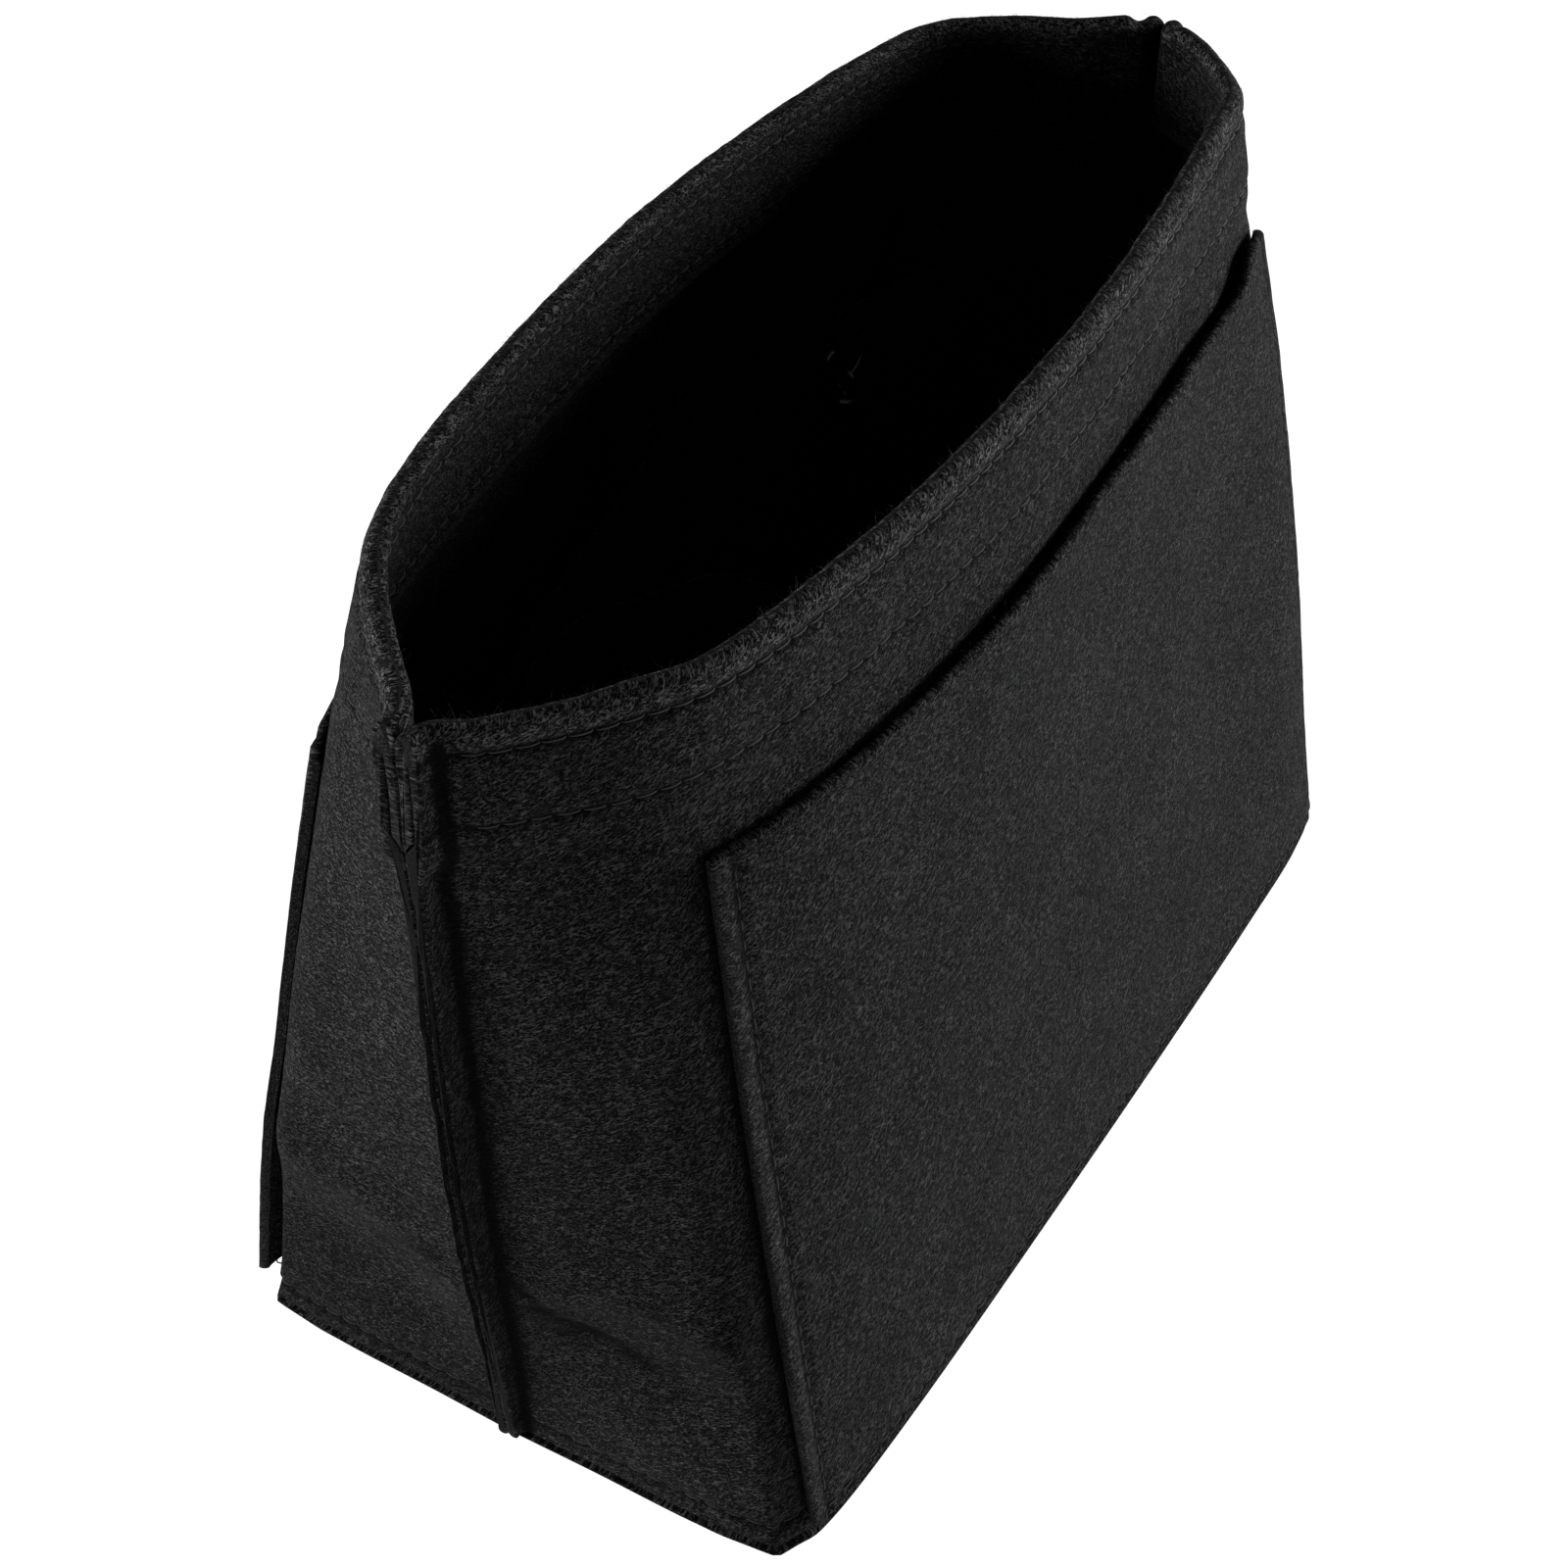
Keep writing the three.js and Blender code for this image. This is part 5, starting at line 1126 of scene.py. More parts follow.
FRONT_STRIP = [
    ("u", 2.05), ("u", 1.85), ("u", 1.65), ("f", -0.610, -0.060, -0.600, -0.142), ("f", -0.565, -0.040, -0.566, -0.118), ("f", -0.526, -0.012, -0.533, -0.082), ("f", -0.496, 0.020, -0.507, -0.046),
    ("f", -0.466, 0.062, -0.477, -0.010), ("f", -0.430, 0.094, -0.440, 0.018), ("f", -0.385, 0.115, -0.395, 0.036), ("f", -0.335, 0.121, -0.345, 0.040),
    ("f", -0.286, 0.106, -0.296, 0.030), ("f", -0.23, 0.076, -0.24, 0.006), ("f", -0.185, 0.049, -0.195, -0.018), ("f", -0.172, 0.036, -0.182, -0.031),
    ("f", -0.168, -0.03, -0.178, -0.09), ("f", -0.164, -0.11, -0.174, -0.18), ("f", -0.161, -0.175, -0.171, -0.270), ("f", -0.153, -0.205, -0.163, -0.302),
    ("w", -0.137, -0.145), ("w", -0.109, -0.114), ("f", -0.097, -0.205, -0.101, -0.304), ("f", -0.092, -0.185, -0.096, -0.285), ("f", -0.092, -0.138, -0.096, -0.262),
    ("f", -0.080, -0.124, -0.084, -0.249), ("f", 0.0, -0.120, 0.0, -0.247), ("f", 0.10, -0.116, 0.10, -0.247), ("f", 0.186, -0.114, 0.186, -0.247), ("f", 0.199, -0.126, 0.199, -0.260),
    ("f", 0.200, -0.164, 0.200, -0.283), ("f", 0.207, -0.187, 0.207, -0.304), ("w", 0.222, 0.222), ("w", 0.247, 0.247), ("f", 0.262, -0.186, 0.262, -0.304),
    ("f", 0.268, -0.162, 0.269, -0.283), ("f", 0.268, -0.122, 0.270, -0.262), ("f", 0.280, -0.109, 0.283, -0.249), ("f", 0.35, -0.098, 0.35, -0.246), ("f", 0.44, -0.083, 0.44, -0.241),
    ("f", 0.498, -0.071, 0.530, -0.236), ("f", 0.511, -0.082, 0.545, -0.247), ("f", 0.516, -0.115, 0.548, -0.266), ("f", 0.521, -0.148, 0.552, -0.288), ("f", 0.533, -0.166, 0.562, -0.304),
    ("w", 0.550, 0.583), ("w", 0.562, 0.598), ("w", 0.574, 0.612)]


def strip_control(side, table, z):
    """(rows, points, 2) of the strip's middle line at heights z."""
    z = np.atleast_1d(np.asarray(z, float))
    ends = [strip_ends(side, e) for e in table]
    top, bot = np.array([e[0] for e in ends]), np.array([e[1] for e in ends])
    f = ((z - STRIP_Z0) / (STRIP_Z1 - STRIP_Z0))[:, None, None]
    return bot[None] * (1 - f) + top[None] * f


def spline(P, per):
    """Cardinal spline through rows of points with per[i] steps in segment i."""
    Q = np.concatenate([2 * P[:, :1] - P[:, 1:2], P, 2 * P[:, -1:] - P[:, -2:-1]], axis=1)
    out = []
    for i in range(P.shape[1] - 1):
        a, b, c, d = (Q[:, i + k] for k in range(4))
        L = np.linalg.norm(c - b, axis=1, keepdims=True)
        # tangents limited by the segment's own length, so that short turns don't overshoot
        ta = (c - a) / (np.linalg.norm(c - b, axis=1, keepdims=True) + np.linalg.norm(b - a, axis=1, keepdims=True)) * L
        tb = (d - b) / (np.linalg.norm(d - c, axis=1, keepdims=True) + np.linalg.norm(c - b, axis=1, keepdims=True)) * L
        for t in np.arange(per[i]) / per[i]:
            h1, h2, h3, h4 = 2 * t ** 3 - 3 * t ** 2 + 1, -2 * t ** 3 + 3 * t ** 2, t ** 3 - 2 * t ** 2 + t, t ** 3 - t ** 2
            out.append(h1 * b + h2 * c + h3 * ta + h4 * tb)
    out.append(P[:, -1])
    return np.stack(out, axis=1)


def build_strip(side, table, name, seed):
    top = strip_control(side, table, [STRIP_Z1])[0]
    seg = np.hypot(*np.diff(top, axis=0).T)
    per = [max(2, int(round(l / 1.25))) for l in seg]
    zs = np.array(dense_rows(STRIP_Z0 + 0.4, STRIP_Z1 - 0.5, 4.2, ()))
    extra = np.array([STRIP_Z1 - 4.5, STRIP_Z1 - 2.4])
    zs = np.unique(np.round(np.concatenate([zs[zs < STRIP_Z1 - 5.5], extra, [STRIP_Z1 - 0.5]]), 3))
    h = STRIP_T / 2
    rows = [(h, z) for z in zs] + [(h * 0.8, STRIP_Z1 - 0.12), (0.0, STRIP_Z1), (-h * 0.8, STRIP_Z1 - 0.12)]
    rows += [(-h, z) for z in zs[::-1]] + [(-h * 0.8, STRIP_Z0 + 0.1), (0.0, STRIP_Z0), (h * 0.8, STRIP_Z0 + 0.1)]
    D, Z = np.array([r[0] for r in rows]), np.array([r[1] for r in rows])
    C = spline(strip_control(side, table, Z), per)                      # (K, N, 2)
    d = np.zeros_like(C)
    d[:, 1:-1] = C[:, 2:] - C[:, :-2]
    d[:, 0], d[:, -1] = C[:, 1] - C[:, 0], C[:, -1] - C[:, -2]
    d /= np.linalg.norm(d, axis=2, keepdims=True)
    n = np.stack([-d[..., 1], d[..., 0]], axis=2)
    K, N = C.shape[:2]
    s = np.concatenate([np.zeros((K, 1)), np.cumsum(np.linalg.norm(np.diff(C, axis=1), axis=2), axis=1)], axis=1)
    # free stretches wave a little, the stitched ones lie still
    free = np.concatenate([np.full(per[i], 1.0 if table[i][0] == "f" and table[i + 1][0] == "f" else 0.0) for i in range(len(per))] + [[0.0]])
    ker = np.ones(9) / 9
    free = np.convolve(np.pad(free, 4, mode="edge"), ker, "valid")
    free = np.convolve(np.pad(free, 4, mode="edge"), ker, "valid")[None] ** 2
    ztop = smooth(95, 141, Z)[:, None]
    smid = s[[0]]
    w = free * (0.55 * ztop * noise(s / 31, Z[:, None] / 60, seed) + 0.28 * noise(s / 22, Z[:, None] / 26, seed + 1) + 0.10 * noise(s / 7, Z[:, None] / 9, seed + 2))
    P3 = C + n * (D[:, None] + w)[..., None]
    zz = Z[:, None] + smooth(132, 141, Z)[:, None] * (0.5 * free * noise(smid / 26, 0.3, seed + 3) + 0.14 * noise(smid / 4, 0.6, seed + 4) - 0.2)
    G = np.concatenate([P3, (zz + np.zeros((K, N)))[..., None]], axis=2).transpose(1, 0, 2)
    gr = grain_coords(s, Z[:, None] + np.zeros((K, N)), math.radians(12), 0.0)
    gr[..., 2] = 600 + seed * 3 + (D * 0.4)[:, None] + np.where(D < 0, 8.0, 0.0)[:, None]
    verts = G.reshape(-1, 3)
    faces = fix_winding(verts, grid_quads(N, K)).tolist()
    first = faces[0]
    same = any(first[i] == 0 and first[(i + 1) % 4] == 1 for i in range(4))
    c0, c1 = list(range(K)), list(range((N - 1) * K, N * K))
    faces.append(c0[::-1] if same else c0)
    faces.append(c1 if same else c1[::-1])
    o = mesh_object(name, verts, faces, {"grain": gr.transpose(1, 0, 2).reshape(-1, 3)})
    bm_triangulate_ngons(o)
    return o, {"length": float(s[len(zs) - 1, -1]), "foot": float(s[0, -1]), "G": G, "rows": rows, "n": n, "top": int(np.argmax(Z))}


rs, rear_strip_info = build_strip(1, REAR_STRIP, "rear_inner_pockets_felt", 120)
fs_, front_strip_info = build_strip(-1, FRONT_STRIP, "front_inner_pockets_felt", 140)
rear_strip = finish_piece(rs, FELT, "insert", "felt", "rear_inner_pockets")
front_strip = finish_piece(fs_, FELT, "insert", "felt", "front_inner_pockets")


# ---------------------------------------------------------------- threads
def stitch_tubes(points_at, s_from, s_to, pitch=PITCH, s0=HOLE0, radius=0.18, lift=0.04, sink=0.40, sides=7, skip=None, seed=1):
    """Single stitches between needle holes. points_at(s, h) -> points, normals."""
    first = s0 + math.ceil((s_from - s0) / pitch) * pitch
    holes = np.arange(first, s_to - pitch * 0.4, pitch)
    rng = np.random.RandomState(seed)
    t = np.linspace(0, 1, 9)
    paths, norms = [], []
    for hs in holes:
        L = pitch * (1 + 0.05 * (rng.rand() - 0.5))
        ss = hs + 0.16 + (L - 0.32) * t
        if ss[-1] > s_to:
            break
        hgt = -sink + (sink + lift) * np.sin(np.pi * t) ** 0.45 + 0.04 * (rng.rand() - 0.5)
        p, n = points_at(ss, hgt)
        paths.append(p)
        norms.append(n)
    return tubes(np.array(paths), radius, sides, 0.85, np.array(norms))


def thread_object(name, parts, body, *replaced, twist=9.0):
    V, F, A, off = [], [], [], 0
    for v, q, t, tw in parts:
        a, b, c, d = (v[q[:, k]] for k in range(4))
        vol = np.einsum("ij,ij->i", a, np.cross(b, c)).sum() + np.einsum("ij,ij->i", a, np.cross(c, d)).sum()
        ta, tb, tc = (v[t[:, k]] for k in range(3))
        vol += np.einsum("ij,ij->i", ta, np.cross(tb, tc)).sum()
        if vol < 0:
            q, t = q[:, ::-1], t[:, ::-1]
        V.append(v); A.append(tw)
        F += (q + off).tolist() + (t + off).tolist()
        off += len(v)
    o = mesh_object(name, np.concatenate(V), F, {"twist": np.concatenate(A)})
    return finish_piece(o, THREAD, body, "thread", *replaced)


def with_twist(parts, k=9, sides=7):
    """Adds (length along, angle round) for the thread's plies."""
    v, q, t = parts
    per = k * sides + 2
    n = len(v) // per
    a = np.zeros((per, 3))
    for i in range(k):
        for j in range(sides):
            a[i * sides + j] = (i / (k - 1) * 3.6, 2 * np.pi * j / sides, 0)
    a[-1] = (3.6, 0, 0)
    return v, q, t, np.tile(a, (n, 1))


def wall_line(side, z, h0=0.0):
    pn = panel(side, z)
    k = 0 if side < 0 else 50

    def at(s, h):
        w = line_w(side, z, s)
        return pn.at(s, h0 + w + h)
    return at, pn


def line_w(side, z, s):
    """Relief of the wall along a stitch line, without the fine grain."""
    pn = panel(side, z)
    span = pn.s[-N_END - 1]
    k = 0 if side < 0 else 50
    s = np.asarray(s, float)
    full = np.concatenate([s, [span]])
    w = wall_relief(side, np.clip(full, 0, None)[None], np.full((1, len(full)), float(z)), None, None, fine=False)[0][:-1]
    return w * smooth(-1.5, 3.0, s) * smooth(-1.5, 3.0, span - s)


def wall_stitches(side, z, s0, h_inner=None, over=None, seed=1):
    at, pn = wall_line(side, z)
    span = pn.s[-N_END - 1]
    parts = []
    if over is None:
        parts.append(with_twist(stitch_tubes(lambda s, h: at(s, h - 0.16), 1.0, span - 1.0, s0=s0, seed=seed)))
    else:
        uu = lambda s: np.interp(s, pn.s, pn.u)
        def lifted(s, h):
            u = uu(s)
            ua, ub = POCKET_U[side]
            on = smooth(ua - 0.03, ua + 0.01, u) * (1 - smooth(ub - 0.01, ub + 0.03, u))
            return at(s, h - 0.28 + on * (T + GAP + 0.12))
        parts.append(with_twist(stitch_tubes(lifted, 1.0, span - 1.0, s0=s0, seed=seed)))
    if h_inner is not None:
        def inside(s, h):
            p, n = at(s, -(h_inner + h - 0.24))
            return p, -n
        parts.append(with_twist(stitch_tubes(inside, 3.0, span - 3.0, s0=s0 + 0.1, seed=seed + 5, lift=0.30, radius=0.24)))
    return parts


for label, side in (("front", -1), ("rear", 1)):
    thread_object(f"{label}_rim_stitches", wall_stitches(side, RIM_STITCH_Z, HOLE0, 2 * T, seed=201 + side), "insert", f"{label}_rim_thread")
    thread_object(f"{label}_hem_stitches", wall_stitches(side, HEM_STITCH_Z, 2.4, 2 * T, seed=211 + side), "insert", f"{label}_hem_thread")
    thread_object(f"{label}_base_stitches", wall_stitches(side, BASE_STITCH_Z, 0.7, 2 * T + GAP, over=True, seed=221 + side), "insert", f"{label}_base_thread")
    info = front_pocket_info if side < 0 else rear_pocket_info
    for end in ("near", "far"):
        e = 3.9 if end == "near" else info["L"] - 3.9
        u0 = float(np.interp(e, info["sa"], info["us"]))
        def at(z, h, u0=u0, side=side):
            p, n = pocket_surface(side, np.full(len(z), u0), z, h - 0.28)
            return p, n
        thread_object(f"{label}_pocket_{end}_stitches", [with_twist(stitch_tubes(at, 8.5, POCKET_Z1[side] - 3.0, s0=2.0, seed=231 + side))], "insert", f"{label}_pocket_{end}_thread")

# end seams: stitches down both faces of each seam allowance, close to the corner
for end in ("near", "far"):
    for label, side in (("needle", -1), ("bobbin", 1)):
        def at(z, h, end=end, side=side):
            p = outline(side, z, [0.0 if end == "near" else 13.0])[:, 0]
            sx = -1.0 if end == "near" else 1.0
            x = p[:, 0] + sx * 1.35
            y = (seam_y(z) if end == "near" else 0.0) + side * (seam_half(z) + h - 0.16)
            return np.stack([x, y, z], 1), np.stack([0 * x, side + 0 * x, 0 * x], 1)
        thread_object(f"{end}_seam_{label}_stitches", [with_twist(stitch_tubes(at, 4.0, 176.0, s0=1.0, seed=241 + side, radius=0.16, lift=-0.02, sink=0.28))], "insert", f"{end}_seam_{label}_thread")


def strip_line(side, table, k, flip=1):
    zs = np.linspace(STRIP_Z0, STRIP_Z1, 60)
    P = strip_control(side, table, zs)
    a, b = P[:, k], P[:, k + 1]
    d = b - a
    d /= np.linalg.norm(d, axis=1, keepdims=True)
    s = (1 if side < 0 else -1) * flip
    n = np.stack([-d[:, 1] * s, d[:, 0] * s], 1)
    c = (a + b) / 2

    def at(z, h):
        ci = np.stack([np.interp(z, zs, c[:, q]) for q in (0, 1)], 1)
        ni = np.stack([np.interp(z, zs, n[:, q]) for q in (0, 1)], 1)
        ni /= np.linalg.norm(ni, axis=1, keepdims=True)
        return (np.hstack([ci + ni * (STRIP_T / 2 + h - 0.10)[:, None], np.asarray(z)[:, None]]), np.hstack([ni, 0 * np.asarray(z)[:, None]]))
    return at


for nm, k in (("near", 0), ("middle", 15), ("far", len(REAR_STRIP) - 2)):
    thread_object(f"rear_strip_{nm}_stitches", [with_twist(stitch_tubes(strip_line(1, REAR_STRIP, k), 12.0, 139.6, s0=0.5, seed=251))], "insert", f"rear_strip_{nm}_thread")
for nm, k in (("near", 0), ("second", 19), ("third", 31), ("far", len(FRONT_STRIP) - 2)):
    thread_object(f"front_strip_{nm}_stitches", [with_twist(stitch_tubes(strip_line(-1, FRONT_STRIP, k, -1 if nm == "near" else 1), 12.0, 139.6, s0=0.9, seed=261))], "insert", f"front_strip_{nm}_thread")

# bar tack: close zigzag over the pinched pleat's top edge
P = strip_control(1, REAR_STRIP, [STRIP_Z1])[0]
m = (P[12] + P[18]) / 2
n_tack = 15
x0 = np.linspace(m[0] - 3.1, m[0] + 3.1, n_tack)
t = np.linspace(0, 1, 9)
paths = []
for i, x in enumerate(x0):
    y = m[1] - 0.6 + (t - 0.5) * 1.9
    z = STRIP_Z1 - 0.15 + 0.42 * np.sin(np.pi * t) ** 0.5
    paths.append(np.stack([x + (t - 0.5) * 0.30 * (1 if i % 2 else -1), y, z], 1))
paths = np.array(paths)
up_n = np.broadcast_to(np.array([0.0, 0.0, 1.0]), paths.shape)
thread_object("rear_bar_tack_stitches", [with_twist(tubes(paths, 0.22, 7, 0.9, up_n))], "insert", "rear_bar_tack")


# --------------------------------------------------------------- key clip
CLIP_X, TAB_W, WIRE, RIBBON = 50.5, 6.4, 1.5, 0.8
Pz = strip_control(1, REAR_STRIP, [STRIP_Z1])[0]
for i in range(19, 24):
    if Pz[i][0] <= CLIP_X <= Pz[i + 1][0]:
        tt = (CLIP_X - Pz[i][0]) / (Pz[i + 1][0] - Pz[i][0])
        dv = Pz[i + 1] - Pz[i]
        dv = dv / np.linalg.norm(dv)
        face_y = Pz[i][1] + (Pz[i + 1][1] - Pz[i][1]) * tt
        break
fa, fb = np.array([dv[0], dv[1], 0.0]), np.array([dv[1], -dv[0], 0.0])
clip_o = np.array([CLIP_X + fb[0] * STRIP_T / 2, face_y + fb[1] * STRIP_T / 2, 0.0])
AX = np.stack([-fa, fb, np.array([0, 0, 1.0])])           # local a, b, z


def clip_place(p):
    p = np.asarray(p, float)
    return clip_o + p @ AX


BAR_B, BAR_Z = GAP + RIBBON + GAP + WIRE / 2, 135.6
D_W, D_DROP = 9.6, 6.6
EYE_R, EYE_W = 2.3, 1.3
D_BOTTOM = BAR_Z - 1.0 - D_DROP
EYE_Z = D_BOTTOM + WIRE / 2 + GAP + EYE_W / 2 - EYE_R
FOOT = EYE_Z - EYE_R
BAR_TOP = FOOT - 1.0


def ring_tube(name, pts, r, sides=20):
    """Closed loop of round wire, in clip coordinates; pts lie in one plane."""
    pts = np.asarray(pts, float)
    N = len(pts)
    t = np.roll(pts, -1, 0) - np.roll(pts, 1, 0)
    t /= np.linalg.norm(t, axis=1, keepdims=True)
    c = pts.mean(0)
    nrm = np.cross(pts[0] - c, pts[N // 4] - c)
    nrm /= np.linalg.norm(nrm)
    o = np.cross(t, nrm)
    q = 2 * np.pi * np.arange(sides) / sides
    V = pts[:, None] + r * (np.cos(q)[None, :, None] * o[:, None] + np.sin(q)[None, :, None] * nrm)
    verts = clip_place(V.reshape(-1, 3))
    quads = fix_winding(verts, grid_quads(N, sides, closed_n=True))
    return verts, quads


def resample(pts, n, closed=True):
    pts = np.asarray(pts, float)
    q = np.vstack([pts, pts[:1]]) if closed else pts
    s = np.concatenate([[0], np.cumsum(np.linalg.norm(np.diff(q, axis=0), axis=1))])
    t = np.linspace(0, s[-1], n, endpoint=not closed)
    return np.stack([np.interp(t, s, q[:, k]) for k in range(q.shape[1])], 1)


def soften(pts, times, closed=True):
    for _ in range(times):
        pts = (np.roll(pts, 1, 0) + 2 * pts + np.roll(pts, -1, 0)) / 4
    return pts


w = D_W / 2 + WIRE / 2
ring = [[-w + 1.2 + (2 * w - 2.4) * k / 12, BAR_B, BAR_Z] for k in range(13)]
ring += [[w * math.cos(math.pi * k / 40), BAR_B, BAR_Z - 1.0 - D_DROP * math.sin(math.pi * k / 40)] for k in range(41)]
ring = soften(resample(ring, 120), 3)
v, q = ring_tube("d", ring, WIRE / 2)
d_ring = finish_piece(mesh_object("d_ring_wire", v, q), STEEL, "d_ring", "clip_steel", "d_ring")

ring = [[0, BAR_B + EYE_R * math.cos(a), EYE_Z + EYE_R * math.sin(a)] for a in np.linspace(0, 2 * np.pi, 64, endpoint=False)]
v, q = ring_tube("e", ring, EYE_W / 2)


def lathe(profile, seg=40):
    """Closed solid of revolution about the hook's axis, in clip coordinates."""
    pr = np.asarray(profile, float)
    a = 2 * np.pi * np.arange(seg) / seg
    rings = np.stack([np.outer(pr[1:-1, 0], np.cos(a)), BAR_B + np.outer(pr[1:-1, 0], np.sin(a)), np.repeat(pr[1:-1, 1][:, None], seg, 1)], -1)
    V = np.concatenate([rings.reshape(-1, 3), [[0, BAR_B, pr[0, 1]], [0, BAR_B, pr[-1, 1]]]])
    k = len(pr) - 2
    F = grid_quads(k, seg, closed_n=False, closed_m=True).tolist()
    F += [[k * seg, (j + 1) % seg, j] for j in range(seg)] + [[k * seg + 1, (k - 1) * seg + j, (k - 1) * seg + (j + 1) % seg] for j in range(seg)]
    return clip_place(V), F


sv, sf = lathe([[0, FOOT - 5.6], [1.5, FOOT - 5.6], [1.66, FOOT - 5.5], [1.7, FOOT - 5.3], [1.7, FOOT - 4.7], [1.6, FOOT - 4.45], [1.35, FOOT - 4.4], [1.05, FOOT - 4.3],
                [1.0, FOOT - 4.0], [1.0, FOOT - 0.6], [1.06, FOOT - 0.2], [0.95, FOOT + 0.15], [0.6, FOOT + 0.2], [0, FOOT + 0.2]])
eye_obj = mesh_object("swivel_eye_ring", np.concatenate([v, sv]), q.tolist() + [[i + len(v) for i in f] for f in sf])
recalc(eye_obj)
finish_piece(eye_obj, STEEL, "swivel_eye", "clip_steel", "swivel_eye")

# the hook's plates keep their CAD shape, with worn edges
for nm, width in (("snap_hook", 0.28), ("hook_gate", 0.12), ("gate_pin", 0.10), ("gate_spring", 0.03)):
    o = nodes[nm]
    for sl in o.material_slots:
        sl.material = STEEL
    if not o.material_slots:
        o.data.materials.append(STEEL)
    bev = o.modifiers.new("edge", "BEVEL")
    bev.width = width * MM
    bev.segments = 3
    bev.limit_method = "ANGLE"
    bev.angle_limit = math.radians(38)
    bev.harden_normals = False

# tab: felt ribbon folded round the D-ring's bar
r_in = WIRE / 2 + GAP
r_mid = r_in + RIBBON / 2
path = [[BAR_B - r_mid, 140.4], [BAR_B - r_mid, 139.2], [BAR_B - r_mid, 137.6], [BAR_B - r_mid, BAR_Z]]
path += [[BAR_B + r_mid * math.cos(a), BAR_Z + r_mid * math.sin(a)] for a in np.linspace(math.pi, 2 * math.pi, 22)[1:]]
path += [[BAR_B + r_mid - 0.05, 136.6], [BAR_B + r_mid - 0.35, 137.4], [BAR_B + 0.15, 138.3], [BAR_B - r_mid + RIBBON + 0.55, 139.0], [BAR_B - r_mid + RIBBON + 0.33, 139.7], [BAR_B - r_mid + RIBBON + 0.33, 140.4]]
path = resample(path, 70, closed=False)
for _ in range(2):
    path[1:-1] = (path[:-2] + 2 * path[1:-1] + path[2:]) / 4
d = np.gradient(path, axis=0)
d /= np.linalg.norm(d, axis=1, keepdims=True)
nn = np.stack([-d[:, 1], d[:, 0]], 1)
cols = np.linspace(-TAB_W / 2, TAB_W / 2, 17)
sect = [(a, 1.0) for a in cols[1:-1]] + [(cols[-1] - 0.08, 0.7), (cols[-1], 0.0), (cols[-1] - 0.08, -0.7)] + [(a, -1.0) for a in cols[1:-1][::-1]] + [(cols[0] + 0.08, -0.7), (cols[0], 0.0), (cols[0] + 0.08, 0.7)]
G = np.zeros((len(path), len(sect), 3))
for j, (a, sgn) in enumerate(sect):
    off = path + nn * (sgn * RIBBON / 2 * 0.98)
    G[:, j, 0] = a
    G[:, j, 1:] = off
sl = np.concatenate([[0], np.cumsum(np.linalg.norm(np.diff(path, axis=0), axis=1))])
gr = np.stack([np.repeat(sl[:, None], len(sect), 1), G[..., 0], 900 + np.array([q[1] for q in sect])[None] * 0.3 + np.zeros((len(path), 1))], -1)
verts = clip_place(G.reshape(-1, 3))
quads = fix_winding(verts, grid_quads(len(path), len(sect)))
faces = quads.tolist()
K = len(sect)
first = faces[0]
same = any(first[i] == 0 and first[(i + 1) % 4] == 1 for i in range(4))
c0, c1 = list(range(K)), list(range((len(path) - 1) * K, len(path) * K))
faces.append(c0[::-1] if same else c0)
faces.append(c1 if same else c1[::-1])
tab = mesh_object("key_tab_felt", verts, faces, {"grain": gr.reshape(-1, 3)})
bm_triangulate_ngons(tab)
finish_piece(tab, FELT, "insert", "felt", "key_tab")
tab_len = float(sl[-1])

# stitches across the tab
b0 = BAR_B - r_mid + RIBBON + 0.33 + RIBBON / 2
paths = []
for i in range(2):
    a = np.linspace(-2.5 + 2.6 * i, -0.2 + 2.6 * i, 9)
    paths.append(np.stack([a, b0 - 0.12 + 0.34 * np.sin(np.pi * np.linspace(0, 1, 9)) ** 0.5, np.full(9, 139.7)], 1))
paths = clip_place(np.array(paths).reshape(-1, 3)).reshape(2, 9, 3)
thread_object("key_tab_stitches", [with_twist(tubes(paths, 0.2, 7, 0.9, np.broadcast_to(fb, paths.shape)))], "insert", "key_tab_thread")


# ------------------------------------------------------------ stray fibres
def fibres(name, roots, normals, along, count_seed, length=(0.8, 2.6), radius=(0.014, 0.024), up=0.55, spread=0.8):
    """Short loose fibres standing off the felt's edges: thin closed tubes."""
    rng = np.random.RandomState(count_seed)
    n = len(roots)
    L = length[0] + (length[1] - length[0]) * rng.rand(n) ** 2
    d = normals * (up * (0.3 + rng.rand(n, 1))) + along * ((rng.rand(n, 1) - 0.5) * 2 * spread) + rng.randn(n, 3) * 0.22
    d /= np.linalg.norm(d, axis=1, keepdims=True)
    bend = rng.randn(n, 3) * 0.55 - normals * 0.35
    t = np.linspace(0, 1, 5)[None, :, None]
    paths = (roots - normals * 0.12)[:, None] + d[:, None] * L[:, None, None] * t + bend[:, None] * L[:, None, None] * t * t * 0.45
    r = (radius[0] + (radius[1] - radius[0]) * rng.rand(n))[:, None] * (1.05 - 0.6 * np.linspace(0, 1, 5)[None])
    o = tube_object(name, paths, r, sides=3)
    return finish_piece(o, FUZZ, "insert", "felt")


rng = np.random.RandomState(5)


def rim_roots(side, n):
    s_all = panel(side, 178.0).s
    span = s_all[-N_END - 1]
    s = rng.rand(n) * (span + 8) - 4
    q = rng.rand(n) * np.pi
    p, nr = panel(side, 178.0).at(s, 0.0)
    out = T * np.cos(q) - T
    p[:, :2] += nr[:, :2] * out[:, None]
    p[:, 2] = 178.0 - 0.3 + T * np.sin(q)
    nrm = nr * np.cos(q)[:, None]
    nrm[:, 2] = np.sin(q)
    al = np.stack([-nr[:, 1], nr[:, 0], 0 * s], 1)
    return p, nrm, al


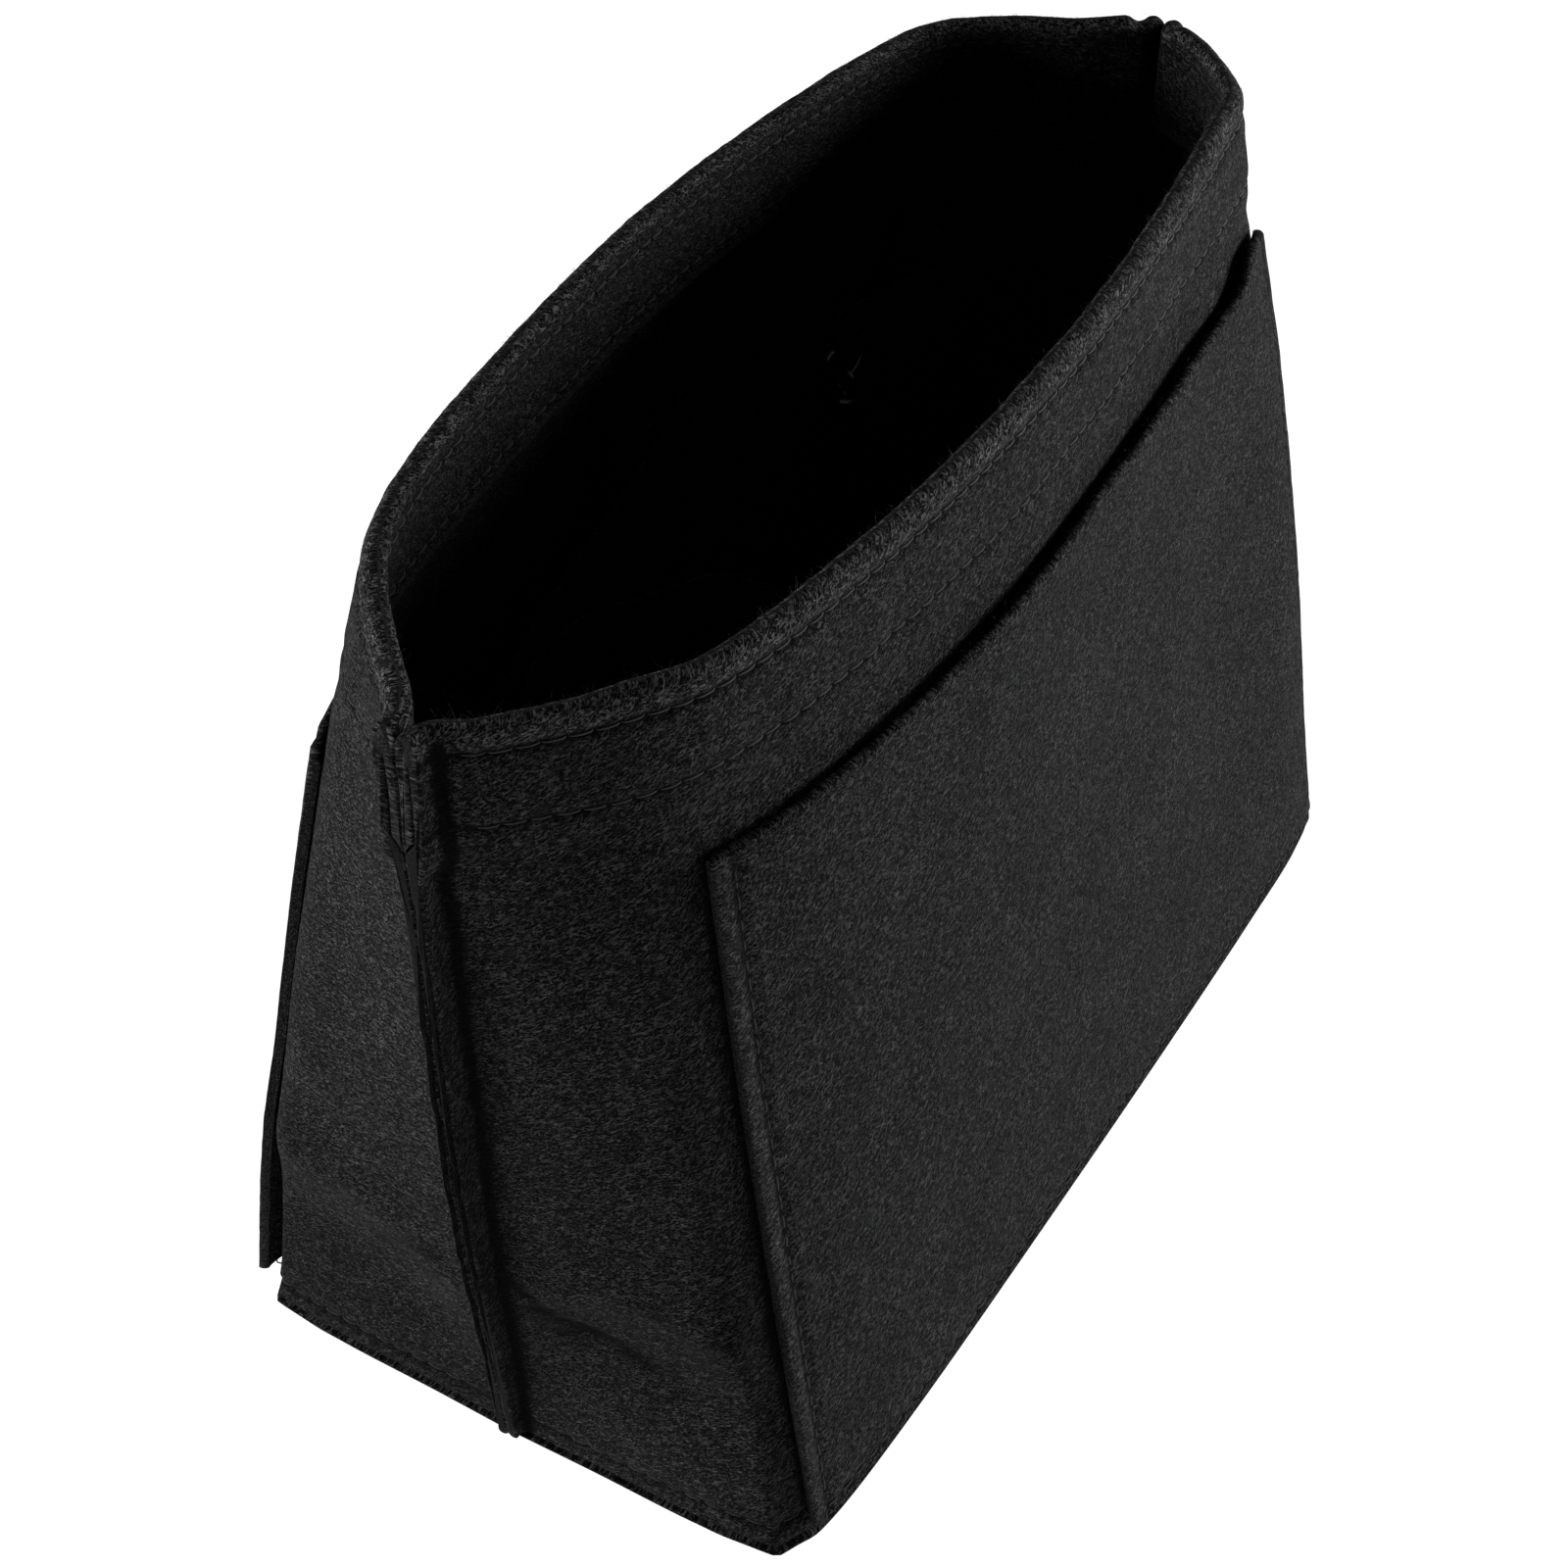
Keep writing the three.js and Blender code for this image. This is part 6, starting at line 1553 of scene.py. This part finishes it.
for label, side in (("front", -1), ("rear", 1)):
    p, nr, al = rim_roots(side, 3000)
    fibres(f"{label}_rim_fibres", p, nr, al, 301 + side)
    # raw edges of the seam allowances and the foot
    m = 700
    z = rng.rand(m) * 176 + 3
    tipx = []
    pts, nrs, als = [], [], []
    for end in (0, 1):
        zz = z[end::2]
        P_ = wall_outline(side, zz)
        tip = P_[:, 0] if end == 0 else P_[:, -1]
        inn = inward(P_, side)[:, 0 if end == 0 else -1]
        q = rng.rand(len(zz)) * T
        pt = np.hstack([tip + inn * q[:, None], zz[:, None]])
        sx = -1.0 if end == 0 else 1.0
        pts.append(pt)
        nrs.append(np.tile([sx, 0, 0], (len(zz), 1)).astype(float))
        als.append(np.tile([0, 0.3, 1.0], (len(zz), 1)))
    fibres(f"{label}_seam_fibres", np.concatenate(pts), np.concatenate(nrs), np.concatenate(als), 311 + side, length=(0.5, 1.6))
    # pocket's top and side edges
    info = front_pocket_info if side < 0 else rear_pocket_info
    m = 1100
    sa = rng.rand(m) * info["L"]
    u = np.interp(sa, info["sa"], info["us"])
    zt = np.interp(sa, info["sa"], info["zt"])
    p, nr = pocket_surface(side, u, zt - 0.1, -T * rng.rand(m))
    top_n = np.tile([0.0, 0, 1.0], (m, 1)) + nr * 0.4
    top_n /= np.linalg.norm(top_n, axis=1, keepdims=True)
    al = np.stack([-nr[:, 1], nr[:, 0], 0 * u], 1)
    fibres(f"{label}_pocket_fibres", p, top_n, al, 321 + side, length=(0.4, 1.1))
    # lower raw edge of the wall
    m = 900
    pn = panel(side, 1.8)
    s = rng.rand(m) * pn.s[-N_END - 1]
    p, nr = pn.at(s, 0.0)
    p[:, 2] = 1.3 + rng.rand(m) * 0.5
    low = nr * 0.9 + np.array([0, 0, -0.25])
    al = np.stack([-nr[:, 1], nr[:, 0], 0 * s], 1)
    fibres(f"{label}_foot_fibres", p, low, al, 331 + side, length=(0.5, 1.3), up=0.35)

for info, label, seed in ((rear_strip_info, "rear", 341), (front_strip_info, "front", 342)):
    G = info["G"]
    k = info["top"]
    m = 1000
    i = rng.randint(2, len(G) - 2, m)
    f = rng.rand(m, 1)
    j = rng.randint(-2, 3, m)
    p = G[i, k + j] * (1 - f) + G[i + 1, k + j] * f
    al = G[i + 1, k] - G[i, k]
    al /= np.linalg.norm(al, axis=1, keepdims=True)
    fibres(f"{label}_strip_fibres", p, np.tile([0.0, 0, 1.0], (m, 1)), al, seed, length=(0.6, 1.9))


# ------------------------------------------------------- sheets, as cut
def panel_area(side):
    """Flat size of a wall: its length at mid height with both seam allowances, and its height with the hem."""
    pn = panel(side, 90.0)
    return (float(pn.s[-1] - pn.s[0]) * MM, (178 + 2 * math.pi + 22) * MM)


panel_area(-1)
panel_area(1)

# ------------------------------------------------------- floor and light
def floor_material():
    m, nt, bsdf = new_material("pale_floor")
    n = node(nt, "ShaderNodeTexNoise")
    n.inputs["Scale"].default_value = 3.0
    c = ramp(nt, [(0.3, (0.25, 0.25, 0.25)), (0.7, (0.27, 0.27, 0.27))], n.outputs["Fac"])
    nt.links.new(c, bsdf.inputs["Base Color"])
    bsdf.inputs["Roughness"].default_value = 0.85
    bsdf.inputs["Specular IOR Level"].default_value = 0.1
    bsdf.inputs["Emission Color"].default_value = (1, 1, 1, 1)
    bsdf.inputs["Emission Strength"].default_value = 1.0
    return m


fv = np.array([[-6000, -6000, -0.02], [6000, -6000, -0.02], [6000, 6000, -0.02], [-6000, 6000, -0.02]])
floor = mesh_object("floor", fv, np.array([[0, 1, 2, 3]]))
floor.data.materials.append(floor_material())
floor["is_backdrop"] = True

world = bpy.data.worlds.new("studio")
world.use_nodes = True
bg = world.node_tree.nodes["Background"]
bg.inputs[0].default_value = (1, 1, 1, 1)
bg.inputs[1].default_value = 0.04
bpy.context.scene.world = world


def softbox(name, place, aim, size, power):
    l = bpy.data.lights.new(name, "AREA")
    l.shape, l.size, l.size_y = "RECTANGLE", size[0], size[1]
    l.energy = power
    o = bpy.data.objects.new(name, l)
    o.location = place
    dv_ = Vector(aim) - Vector(place)
    o.rotation_euler = dv_.to_track_quat("-Z", "Y").to_euler()
    bpy.context.scene.collection.objects.link(o)
    return o


softbox("softbox_left", (-0.74, 1.00, 0.36), (0, 0, 0.11), (1.0, 0.34), 20.5)
softbox("softbox_right", (1.00, -0.82, 0.30), (0, 0, 0.10), (1.1, 0.34), 26.0)

sc = bpy.context.scene
sc.view_settings.view_transform = "Standard"
sc.view_settings.look = "None"
sc.view_settings.exposure = 0.0
sc.view_settings.gamma = 1.0

vis_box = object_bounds()
as_list = lambda b: [[float(c) for c in p] for p in b]
{"cad": as_list(cad_box), "visual": as_list(vis_box)}
